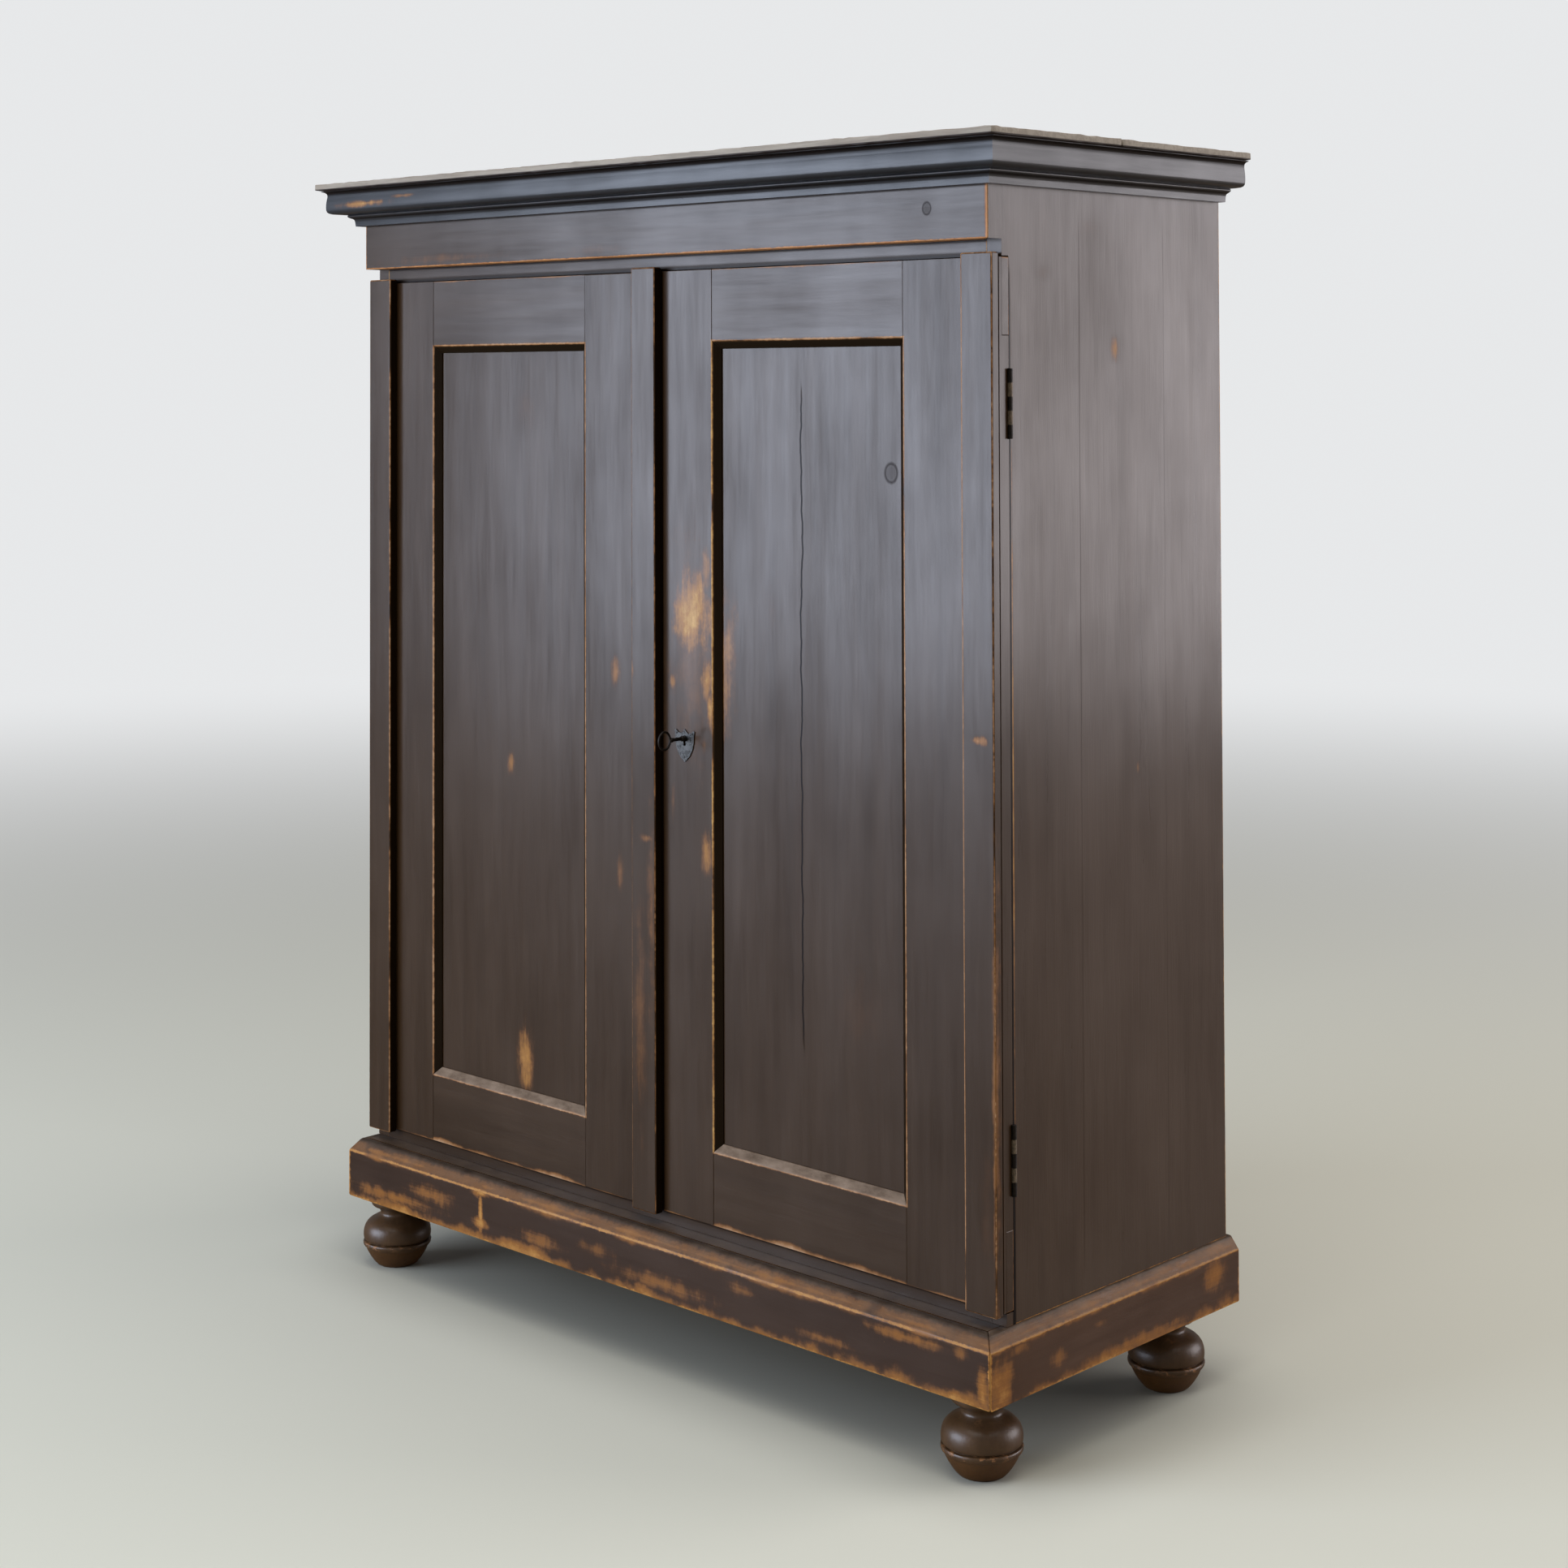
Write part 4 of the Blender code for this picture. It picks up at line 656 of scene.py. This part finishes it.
plinth_foot_z, plinth_top_z = (corner.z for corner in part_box("plinth_front"))
SHOULDER_Z = 0.181
CHAMFER_Z = 0.188
PLINTH_LOOK = {
    "arris": 0.0045, "ragged": 0.010, "amount": 0.95, "scuffed": 0.6, "gloss": 0.42,
    # The top edge, in the crease under the case, is darkened: painted shade
    "grime_and_shade": ((2, plinth_top_z, 0.006, 0.85),),
    "lines": ((2, SHOULDER_Z, 0.0026, 0.006, 0.9), (2, CHAMFER_Z, 0.012, 0.020, 0.35)),
    "rubs": ((2, plinth_foot_z, 0.017, 0.85), (2, SHOULDER_Z, 0.008, 0.6), (2, CHAMFER_Z, 0.007, 0.6)),
    "dark": (0.018, 0.0082, 0.0040, 1), "light": (0.046, 0.0215, 0.0100, 1),
    "woods": ((0.22, 0.088, 0.019), (0.37, 0.178, 0.046)),
}
front_patches = patches_on(
    'Y', -0.263, 0.03,
    (-0.46, 0.150, 0.05, 0.014, 0.6), (-0.55, 0.128, 0.10, 0.010, 0.6), (0.06, 0.132, 0.10, 0.012, 0.5),
    (0.52, 0.168, 0.06, 0.008, 0.6), (0.655, 0.125, 0.012, 0.03, 0.75), (0.62, 0.170, 0.012, 0.010, 0.5),
    (0.22, 0.160, 0.03, 0.010, 0.45), (0.38, 0.130, 0.05, 0.008, 0.5), (-0.3378, 0.178, 0.020, 0.007, 1.0),
    (-0.3378, 0.152, 0.0045, 0.042, 1.0), (-0.3378, 0.133, 0.016, 0.008, 1.0),
    (-0.20, 0.135, 0.05, 0.012, 0.5), (-0.08, 0.150, 0.04, 0.010, 0.4))
side_patches = patches_on(
    'X', 0.668, 0.03,
    (-0.240, 0.130, 0.028, 0.04, 0.75), (0.05, 0.115, 0.12, 0.010, 0.6), (0.24, 0.158, 0.03, 0.024, 0.6),
    (-0.12, 0.140, 0.022, 0.012, 0.5), (-0.205, 0.172, 0.020, 0.008, 0.6), (-0.03, 0.160, 0.014, 0.005, 0.4))
chamfer_patches = patches_on('X', 0.662, 0.02, (0.25, 0.190, 0.06, 0.010, 0.6), (0.13, 0.190, 0.05, 0.007, 0.5))
# Upper faces of the front and side boards are lightened: dust, and a painted sheen
for name, axis, own_look in (
        ("plinth_front", 'X', {"patches": front_patches, "dust_and_sheen": 0.25}),
        ("plinth_right", 'Y', {"patches": side_patches + chamfer_patches, "dust_and_sheen": 0.42,
                               "dark": (0.025, 0.0100, 0.0042, 1), "light": (0.078, 0.0325, 0.0120, 1)}),
        ("plinth_left", 'Y', {"dust_and_sheen": 0.42}),
        ("plinth_back", 'X', {})):
    soften(dress(name, painted(name + "_paint", name, axis, **{**PLINTH_LOOK, **own_look})), 0.0022)
# The ledge's upper face is lightened: dust, and a painted sheen
dress("plinth_ledge", painted("plinth_ledge_paint", "plinth_ledge", 'X', amount=0.2, scuffed=0.5, dust_and_sheen=0.3))


# Case
# Two wide sides, the frieze between their top corners, and a set-back rail above and below the doors.
# The back is three upright boards, and the bottom and the shelves lie bare between the sides.
CORNICE_FOOT_Z = 1.6812
corner_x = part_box("side_right")[1].x
frieze_foot_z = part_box("frieze")[0].z
side_spots = patches_on('X', 0.655, 0.004, (-0.1925, 0.90, 0.0013, 0.48, 0.75)) + patches_on(
    'X', 0.655, 0.02, (0.0345, 1.4677, 0.0094, 0.016, 0.6), (-0.0247, 1.633, 0.024, 0.016, 0.16),
    (-0.124, 1.569, 0.016, 0.010, 0.14), (0.0829, 0.890, 0.003, 0.008, 0.4))
side_joints = ((1, -0.1960, 0.21, 1.592, 0.0024, 0, 1.0), (1, -0.1957, 0.19, 0.37, 0.0044, 0, 1.0),
               (1, -0.045, 0.20, 1.68, 0.0012, 0.002, 0.28), (1, 0.150, 0.20, 1.68, 0.0010, 0.002, 0.22))
for side, hand in ((-1, "left"), (1, "right")):
    name = "side_" + hand
    soften(dress(name, painted(
        name + "_paint", name, 'Z', arris=0.0016, amount=0.7, scuffed=0.1, cracks=side_joints, bare=(0, -side),
        patches=side_spots if side > 0 else (), gloss=0.30, streaks=0.55,
        dark=(0.026, 0.0135, 0.0066, 1), light=(0.056, 0.0310, 0.0155, 1))), 0.0010)
# The frieze is darkened just under the cornice: painted shade
soften(dress("frieze", painted(
    "frieze_paint", "frieze", 'X', arris=0.0022, ragged=0.004, amount=0.9,
    woods=((0.28, 0.100, 0.026), (0.40, 0.185, 0.070)), grime_and_shade=((2, CORNICE_FOOT_Z, 0.003, 0.6),),
    lines=((0, corner_x, 0.0055, 0.003, 1.0), (2, frieze_foot_z, 0.0024, 0.005, 0.9)),
    patches=patches_on('Y', -0.24, 0.02, (-0.11, 1.622, 0.10, 0.009, 0.2), (-0.45, 1.622, 0.14, 0.008, 0.28)),
    knots=((0.5509, 1.6536, 0.0080),))), 0.0010)
# Darkened at the doors' top and under the frieze: painted shade
dress("top_rail", painted("top_rail_paint", "top_rail", 'X',
                          grime_and_shade=((2, 1.5885, 0.008, 0.9), (2, frieze_foot_z, 0.004, 1.0))))
# A soft dark line along it, in the gap at the doors' foot: painted shade
dress("bottom_rail", painted("bottom_rail_paint", "bottom_rail", 'X', amount=0,
                             grime_and_shade=((2, 0.2155, 0.004, 1.0),)))

BACK_DARK, BACK_LIGHT = (0.16, 0.095, 0.05, 1), (0.36, 0.24, 0.135, 1)
for number, seed in ((1, 7.7), (2, 2.3), (3, 5.9)):
    name = "back_board_%d" % number
    soften(dress(name, bare_pine(name + "_pine", 'Z', BACK_DARK, BACK_LIGHT, seed)), 0.0015)
shelf_finish = bare_pine("shelf_pine", 'X', (0.26, 0.145, 0.062, 1), (0.50, 0.32, 0.155, 1), 1.9)
for name in ("bottom_board", "shelf_1", "shelf_2", "shelf_3"):
    dress(name, shelf_finish)


# Cornice
# A length of moulding planed on pine and mitred round the front corners: a small cove, a bead, a broad
# rolled ovolo and a hollow under the roof. Its ends run out flush with the back of the case.
BEAD_Z = 1.6978
COVE_Z = 1.6941
# how far the moulding stands out and its height, in metres, from its foot up
CORNICE_PROFILE = (
    (0.0000, CORNICE_FOOT_Z), (0.0119, CORNICE_FOOT_Z), (0.0121, 1.6830), (0.0124, 1.6860), (0.0128, 1.6890),
    (0.0133, 1.6911),
    (0.0142, 1.6925), (0.0158, 1.6936), (0.0178, 1.6942), (0.0190, 1.6950), (0.0203, 1.6957), (0.0213, 1.6966),
    (0.0217, 1.6978), (0.0213, 1.6990), (0.0203, 1.6997), (0.0206, 1.7002), (0.0310, 1.7004), (0.0385, 1.7009),
    (0.0428, 1.7022), (0.0451, 1.7044), (0.0461, 1.7076), (0.0464, 1.7118), (0.0463, 1.7165), (0.0459, 1.7212),
    (0.0453, 1.7255), (0.0448, 1.7290), (0.0448, 1.7318), (0.0456, 1.7344), (0.0480, 1.7364), (0.0520, 1.7376),
    (0.0520, 1.7386), (0.0000, 1.7386),
)
roof_reach, cornice_head_z = CORNICE_PROFILE[-2]
cornice_look = {
    "arris": 0.0012, "amount": 0.3, "scuffed": 0.15, "lines": ((2, BEAD_Z, 0.0010, 0.003, 0.14),),
    "patches": patches_on(
        'Y', -0.285, 0.02, (-0.60, 1.714, 0.06, 0.005, 0.7), (-0.50, 1.722, 0.03, 0.003, 0.5)),
    # Dark under the roof's overhang and in the crease below the bead: painted shade
    "grime_and_shade": ((2, cornice_head_z, 0.012, 0.9), (2, COVE_Z, 0.0018, 0.8)),
    # Blue-grey paint colours: a painted sheen, the blue of the reflections on the moulding
    "dark": (0.010, 0.0098, 0.0100, 1), "light": (0.026, 0.0290, 0.0350, 1),
}


def moulding(name, node_name, corner, way, stretch, middle, axis):
    """One length of the cornice: its outline drawn in the mitre, then pulled to the length's other end."""
    out, foot_z = CORNICE_PROFILE[0]
    deselect()
    bpy.ops.mesh.primitive_plane_add(
        size=0.01, location=(corner.x + way[0] * out, corner.y + way[1] * out, foot_z))
    length = bpy.context.object
    bpy.ops.object.mode_set(mode='EDIT')
    bpy.ops.mesh.select_all(action='SELECT')
    bpy.ops.mesh.merge(type='CENTER')
    for (out, z), (next_out, next_z) in zip(CORNICE_PROFILE, CORNICE_PROFILE[1:]):
        step = (way[0] * (next_out - out), way[1] * (next_out - out), next_z - z)
        bpy.ops.mesh.extrude_region_move(TRANSFORM_OT_translate={"value": step})
    bpy.ops.mesh.select_all(action='SELECT')
    bpy.ops.mesh.edge_face_add()
    bpy.ops.mesh.extrude_region_move(TRANSFORM_OT_translate={"value": (0, 0, 0)})
    bpy.ops.transform.resize(value=stretch, center_override=middle)
    bpy.ops.mesh.select_all(action='SELECT')
    bpy.ops.mesh.remove_doubles(threshold=0.00001)
    bpy.ops.mesh.normals_make_consistent(inside=False)
    bpy.ops.object.mode_set(mode='OBJECT')
    bpy.ops.object.transform_apply(location=True, rotation=True, scale=True)
    bpy.ops.object.shade_smooth_by_angle(angle=math.radians(42))
    length.name = name
    length.data.materials.append(painted(name + "_paint", node_name, axis, **cornice_look))
    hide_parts(node_name)
    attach(length, "case")


front_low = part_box("cornice_front")[0]
left_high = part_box("cornice_left")[1]
right_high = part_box("cornice_right")[1]
front_line = front_low.y + roof_reach
right_line = right_high.x - roof_reach
right_corner, left_corner = Vector((right_line, front_line, 0)), Vector((-right_line, front_line, 0))
moulding("moulded_cornice_front", "cornice_front", right_corner, (1, -1), (-1, 1, 1), (0, 0, 0), 'X')
moulding("moulded_cornice_right", "cornice_right", right_corner, (1, -1), (1, 0, 1), (0, right_high.y, 0), 'Y')
moulding("moulded_cornice_left", "cornice_left", left_corner, (-1, -1), (1, 0, 1), (0, left_high.y, 0), 'Y')


# Roof
# Two thin bare boards that lie on the case and the cornice. Their edges are grey and splintered.
ROOF_DARK, ROOF_LIGHT = (0.150, 0.120, 0.090, 1), (0.325, 0.285, 0.230, 1)
# the height below which the roof boards' edges are darker
ROOF_DARK_BELOW_Z = 1.7417
ROOF_CELLS = (110, 24)
RIM_WIDTH = 0.004
RIM_UNEVEN = 0.0018
roof_finish = bare_pine("roof_pine", 'X', ROOF_DARK, ROOF_LIGHT, 5.3, dark_below=ROOF_DARK_BELOW_Z)
for node_name, seed in (("roof_front_board", 3), ("roof_rear_board", 8)):
    low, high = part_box(node_name)
    middle = (low + high) / 2
    top_middle = Vector((middle.x, middle.y, high.z))
    deselect()
    bpy.ops.mesh.primitive_grid_add(x_subdivisions=ROOF_CELLS[0], y_subdivisions=ROOF_CELLS[1], size=1,
                                    location=top_middle)
    roof = bpy.context.object
    bpy.ops.object.mode_set(mode='EDIT')
    bpy.ops.mesh.select_all(action='SELECT')
    bpy.ops.transform.resize(value=(high.x - low.x, high.y - low.y, 1), center_override=top_middle)
    bpy.ops.mesh.extrude_region_move(TRANSFORM_OT_translate={"value": (0, 0, low.z - high.z)})
    bpy.ops.mesh.select_all(action='SELECT')
    bpy.ops.mesh.normals_make_consistent(inside=False)
    bpy.ops.object.mode_set(mode='OBJECT')
    bpy.ops.object.transform_apply(location=True, rotation=True, scale=True)
    bpy.ops.object.mode_set(mode='EDIT')
    bpy.ops.mesh.select_all(action='DESELECT')
    bpy.ops.object.mode_set(mode='OBJECT')
    for vertex in roof.data.vertices:
        at_end = abs(vertex.co.x) > high.x - RIM_WIDTH
        at_front = vertex.co.y < low.y + RIM_WIDTH and node_name == "roof_front_board"
        vertex.select = at_end or at_front
    bpy.ops.object.mode_set(mode='EDIT')
    bpy.ops.transform.vertex_random(offset=RIM_UNEVEN, uniform=0, normal=0, seed=seed)
    bpy.ops.mesh.vertices_smooth(factor=0.25, repeat=1)
    bpy.ops.object.mode_set(mode='OBJECT')
    bevel = roof.modifiers.new("worn edges", 'BEVEL')
    bevel.width = 0.0009
    bevel.segments = 2
    bpy.ops.object.modifier_apply(modifier="worn edges")
    bpy.ops.object.shade_smooth_by_angle(angle=math.radians(35))
    roof.name = "worn_" + node_name
    roof.data.materials.append(roof_finish)
    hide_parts(node_name)
    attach(roof, "case")


# Doors
# Each has two stiles and two rails of painted pine, a flat panel in their grooves, and upright strips
# nailed on at the hinge side and, on the left door, over the edge where the doors meet.
ROSY_WOODS = ((0.24, 0.112, 0.042), (0.39, 0.235, 0.130))
PANEL_Y, FRAME_Y, STRIP_Y = -0.2067, -0.217, -0.2325
PATCH_DEPTH = 0.005
# y ranges where the faces of recesses and gaps are painted black: painted shade
FRAME_SHADE = (-0.2162, -0.2060)
STRIP_SHADE = (-0.2312, -0.2160)
STRIP_ARRIS_END = -0.221
GAP_X = 0.0195
OPENINGS = {
    "left": ((-0.5092, 0, 0.321), (-0.14795, 0, 1.484)),
    "right": ((0.12305, 0, 0.321), (0.4887, 0, 1.484)),
}
door_patches = {
    "left_door_panel": patches_on(
        'Y', PANEL_Y, PATCH_DEPTH, (-0.296, 0.380, 0.018, 0.050, 0.62), (-0.330, 0.832, 0.010, 0.017, 0.45),
        (-0.295, 1.382, 0.024, 0.030, 0.16)),
    "left_door_meeting_stile": patches_on(
        'Y', FRAME_Y, PATCH_DEPTH, (-0.080, 0.990, 0.011, 0.022, 0.5), (-0.072, 0.688, 0.008, 0.035, 0.4)),
    "right_door_meeting_stile": patches_on(
        'Y', FRAME_Y, PATCH_DEPTH, (0.083, 1.088, 0.040, 0.056, 0.80), (0.0826, 1.03, 0.060, 0.17, 0.26),
        (0.1115, 1.150, 0.010, 0.040, 0.45), (0.1115, 0.992, 0.012, 0.030, 0.7),
        (0.0408, 0.987, 0.006, 0.010, 0.55), (0.1183, 0.955, 0.006, 0.030, 0.7),
        (0.1065, 0.901, 0.007, 0.018, 0.35), (0.0426, 0.812, 0.005, 0.030, 0.3),
        (0.1107, 0.747, 0.014, 0.028, 0.6)),
    "right_door_panel": patches_on(
        'Y', PANEL_Y, PATCH_DEPTH, (0.137, 1.02, 0.026, 0.090, 0.46), (0.153, 0.976, 0.013, 0.026, 0.2),
        (0.231, 1.085, 0.013, 0.055, 0.14), (0.398, 0.56, 0.052, 0.050, 0.14)),
    "meeting_strip": patches_on(
        'Y', STRIP_Y, PATCH_DEPTH, (-0.030, 1.00, 0.005, 0.014, 0.5), (0.004, 0.757, 0.015, 0.007, 0.5),
        (0.012, 0.66, 0.010, 0.18, 0.36), (-0.012, 0.50, 0.014, 0.16, 0.30)),
    "right_corner_strip": patches_on('Y', STRIP_Y, 0.012, (0.6535, 0.50, 0.0042, 0.30, 0.5)) + patches_on(
        'Y', STRIP_Y, PATCH_DEPTH, (0.640, 0.36, 0.014, 0.10, 0.16), (0.628, 0.955, 0.012, 0.006, 0.9)),
}
door_foot_z, door_top_z = (corner.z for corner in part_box("right_door_hinge_stile"))
FRAME_PIECES = (
    ("hinge_stile", 'Z', (2, door_foot_z, 0.004, 0.6)), ("meeting_stile", 'Z', (2, door_foot_z, 0.003, 0.6)),
    ("top_rail", 'X', (2, door_top_z, 0.003, 0.7)), ("bottom_rail", 'X', (2, door_foot_z, 0.007, 0.85)),
)
panel_marks = {
    "left": {},
    "right": {"cracks": ((0, 0.290, 0.48, 1.43, 0.0019, 0.022, 1.0),), "knots": ((0.4575, 1.2996, 0.0125),)},
}
for hand in ("left", "right"):
    low, high = OPENINGS[hand]
    for label, axis, rub in FRAME_PIECES:
        name = hand + "_door_" + label
        # Recess faces are painted black and the meeting stiles are darkened beside the meeting strip: painted
        # shade. Upper faces are lightened with dust and a painted sheen.
        soften(dress(name, painted(
            name + "_paint", name, axis, arris=0.0011, ragged=0.002, amount=0.15 if "stile" in label else 0.6,
            openings=((low, high, 0.0018, 0.0034, 0.85),), patches=door_patches.get(name, ()), scuffed=0.12,
            rubs=(rub,), grime_and_shade=((0, GAP_X, 0.0050, 0.98),) if label == "meeting_stile" else (), dust_and_sheen=0.9,
            bare=(1, 1), shade=FRAME_SHADE,
            woods=GOLDEN_WOODS if name == "right_door_meeting_stile" else ROSY_WOODS)),
            0.0003 if label == "hinge_stile" else 0.0008)
    name = hand + "_door_panel"
    dress(name, painted(name + "_paint", name, 'Z', arris=0.0005, amount=0, scuffed=0.15, bare=(1, 1),
                        patches=door_patches[name], **panel_marks[hand]))

# The left edges of the two strips that the camera sees best are rubbed along their whole height
strip_lines = {
    "meeting_strip": ((0, -0.0300, 0.0018, 0.002, 0.85),),
    "right_corner_strip": ((0, 0.6020, 0.0026, 0.002, 0.8),),
}
# The side faces of the left corner strip and the meeting strip are painted black: painted shade
for name, arris, amount, scuffed, shade in (
        ("left_corner_strip", 0.0022, 0.9, 0.2, STRIP_SHADE), ("right_corner_strip", 0.0018, 0.9, 0.35, None),
        ("meeting_strip", 0.0018, 0.65, 0.2, STRIP_SHADE)):
    soften(dress(name, painted(
        name + "_paint", name, 'Z', arris=arris, amount=amount, scuffed=scuffed, arris_end=STRIP_ARRIS_END,
        patches=door_patches.get(name, ()), lines=strip_lines.get(name, ()), shade=shade, woods=ROSY_WOODS)),
        0.0006)


# Ironwork
# Forged and filed iron: butt hinges, the rim lock with its keeper, the slide bolts, and the key in its
# escutcheon. The moving faces are rubbed grey.
def iron(name, dark, light, gloss, metal):
    """Old iron with a mottled skin."""
    finish, tree, shader, point = start_finish(name)
    mottle = swing(tree, scaled_noise(tree, point, 240, detail=5, roughness=0.8), 2.9, 0.33)
    relief = add_node(tree, "ShaderNodeBump", {"Strength": 0.35, "Distance": 0.0004, "Height": mottle})
    set_inputs(tree, shader, {
        "Base Color": blend_colours(tree, mottle, dark, light), "Metallic": metal,
        "Roughness": calc(tree, 'ADD', gloss, product(tree, mottle, 0.22)), "Normal": relief.outputs[0]})
    return finish


black_iron = iron("black_iron", (0.005, 0.0045, 0.004, 1), (0.030, 0.024, 0.019, 1), 0.34, 0.7)
grey_iron = iron("grey_iron", (0.006, 0.006, 0.006, 1), (0.085, 0.085, 0.082, 1), 0.20, 0.85)
rubbed_iron = iron("rubbed_iron", (0.016, 0.012, 0.008, 1), (0.190, 0.135, 0.080, 1), 0.42, 0.2)
for name in [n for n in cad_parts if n.endswith("_leaf")]:
    dress(name, rubbed_iron if "door_leaf" in name else black_iron)
for name in ("lock_case", "lock_strike", "upper_bolt_plate", "lower_bolt_plate"):
    soften(dress(name, black_iron), 0.0004)
for name in ("escutcheon", "lock_bolt", "upper_bolt", "lower_bolt"):
    soften(dress(name, grey_iron), 0.0004)

# Escutcheon pins, with domed heads: their x and z, and their rings from the plate outwards
PIN_PLACES = ((0.0515, 0.9145), (0.0836, 0.9145), (0.06755, 0.8800))
PIN_RINGS = ((0.0017, 0), (0.0017, 0.0002), (0.0015, 0.0006), (0.0010, 0.0009), (0.0004, 0.0010))
PIN_STEPS = 16
PIN_SMOOTH = 60
plate_face_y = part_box("escutcheon")[0].y
for number, (x, z) in enumerate(PIN_PLACES, 1):
    pin = turn("escutcheon_pin_%d" % number, PIN_RINGS, PIN_STEPS, Vector((x, plate_face_y, z)),
               Vector((0, -1, 0)), grey_iron, PIN_SMOOTH)
    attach(pin, "right_door")

# Key: a bow of bent wire, a shaft with a turned collar, and a bit
SHAFT_STEPS = 24
SHAFT_SMOOTH = 40
SHAFT_RINGS = (
    (0.0021, 0.0000), (0.0027, 0.0012), (0.0034, 0.0028), (0.0036, 0.0040), (0.0032, 0.0052), (0.0026, 0.0066),
    (0.0026, 0.0225), (0.0034, 0.0230), (0.0042, 0.0238), (0.0042, 0.0252), (0.0036, 0.0260), (0.0036, 0.0268),
    (0.0041, 0.0276), (0.0039, 0.0286), (0.0028, 0.0292), (0.0028, 0.0660), (0.0024, 0.0668),
)
WIRE_RADIUS = 0.0018
BOW_HALF_DEPTH = 0.0112
SHAFT_OVERLAP = 0.0004
BIT_HALF_SIZE = Vector((0.0015, 0.0035, 0.0045))
BIT_FROM_SHAFT = Vector((0, 0.0628, -0.0045))
BIT_BEVEL = 0.0003
key_low, key_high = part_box("key")
bow_half_height = (key_high.z - key_low.z) / 2 - WIRE_RADIUS
bow_middle = Vector(((key_low.x + key_high.x) / 2, key_low.y + WIRE_RADIUS + BOW_HALF_DEPTH,
                     key_high.z - WIRE_RADIUS - bow_half_height))
shaft_start = bow_middle + Vector((0, BOW_HALF_DEPTH - SHAFT_OVERLAP, 0))
key = turn("wire_bow_key", SHAFT_RINGS, SHAFT_STEPS, shaft_start, Vector((0, 1, 0)), black_iron, SHAFT_SMOOTH)
deselect()
bpy.ops.mesh.primitive_torus_add(major_segments=48, minor_segments=14, major_radius=bow_half_height,
                                 minor_radius=WIRE_RADIUS, location=bow_middle, rotation=(0, math.pi / 2, 0))
bow = bpy.context.object
bpy.ops.object.mode_set(mode='EDIT')
bpy.ops.mesh.select_all(action='SELECT')
bpy.ops.transform.resize(value=(1, BOW_HALF_DEPTH / bow_half_height, 1), center_override=bow_middle)
bpy.ops.object.mode_set(mode='OBJECT')
bpy.ops.object.shade_smooth_by_angle(angle=math.radians(60))
deselect()
bit_middle = shaft_start + BIT_FROM_SHAFT
bpy.ops.mesh.primitive_cube_add(size=1, location=bit_middle)
bit = bpy.context.object
bpy.ops.object.mode_set(mode='EDIT')
bpy.ops.mesh.select_all(action='SELECT')
bpy.ops.transform.resize(value=2 * BIT_HALF_SIZE, center_override=bit_middle)
bpy.ops.mesh.bevel(offset=BIT_BEVEL, segments=2)
bpy.ops.object.mode_set(mode='OBJECT')
bow.select_set(True)
key.select_set(True)
bpy.context.view_layer.objects.active = key
bpy.ops.object.join()
bpy.ops.object.transform_apply(location=True, rotation=True, scale=True)
key.data.materials.clear()
key.data.materials.append(black_iron)
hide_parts("key")
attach(key, "key")
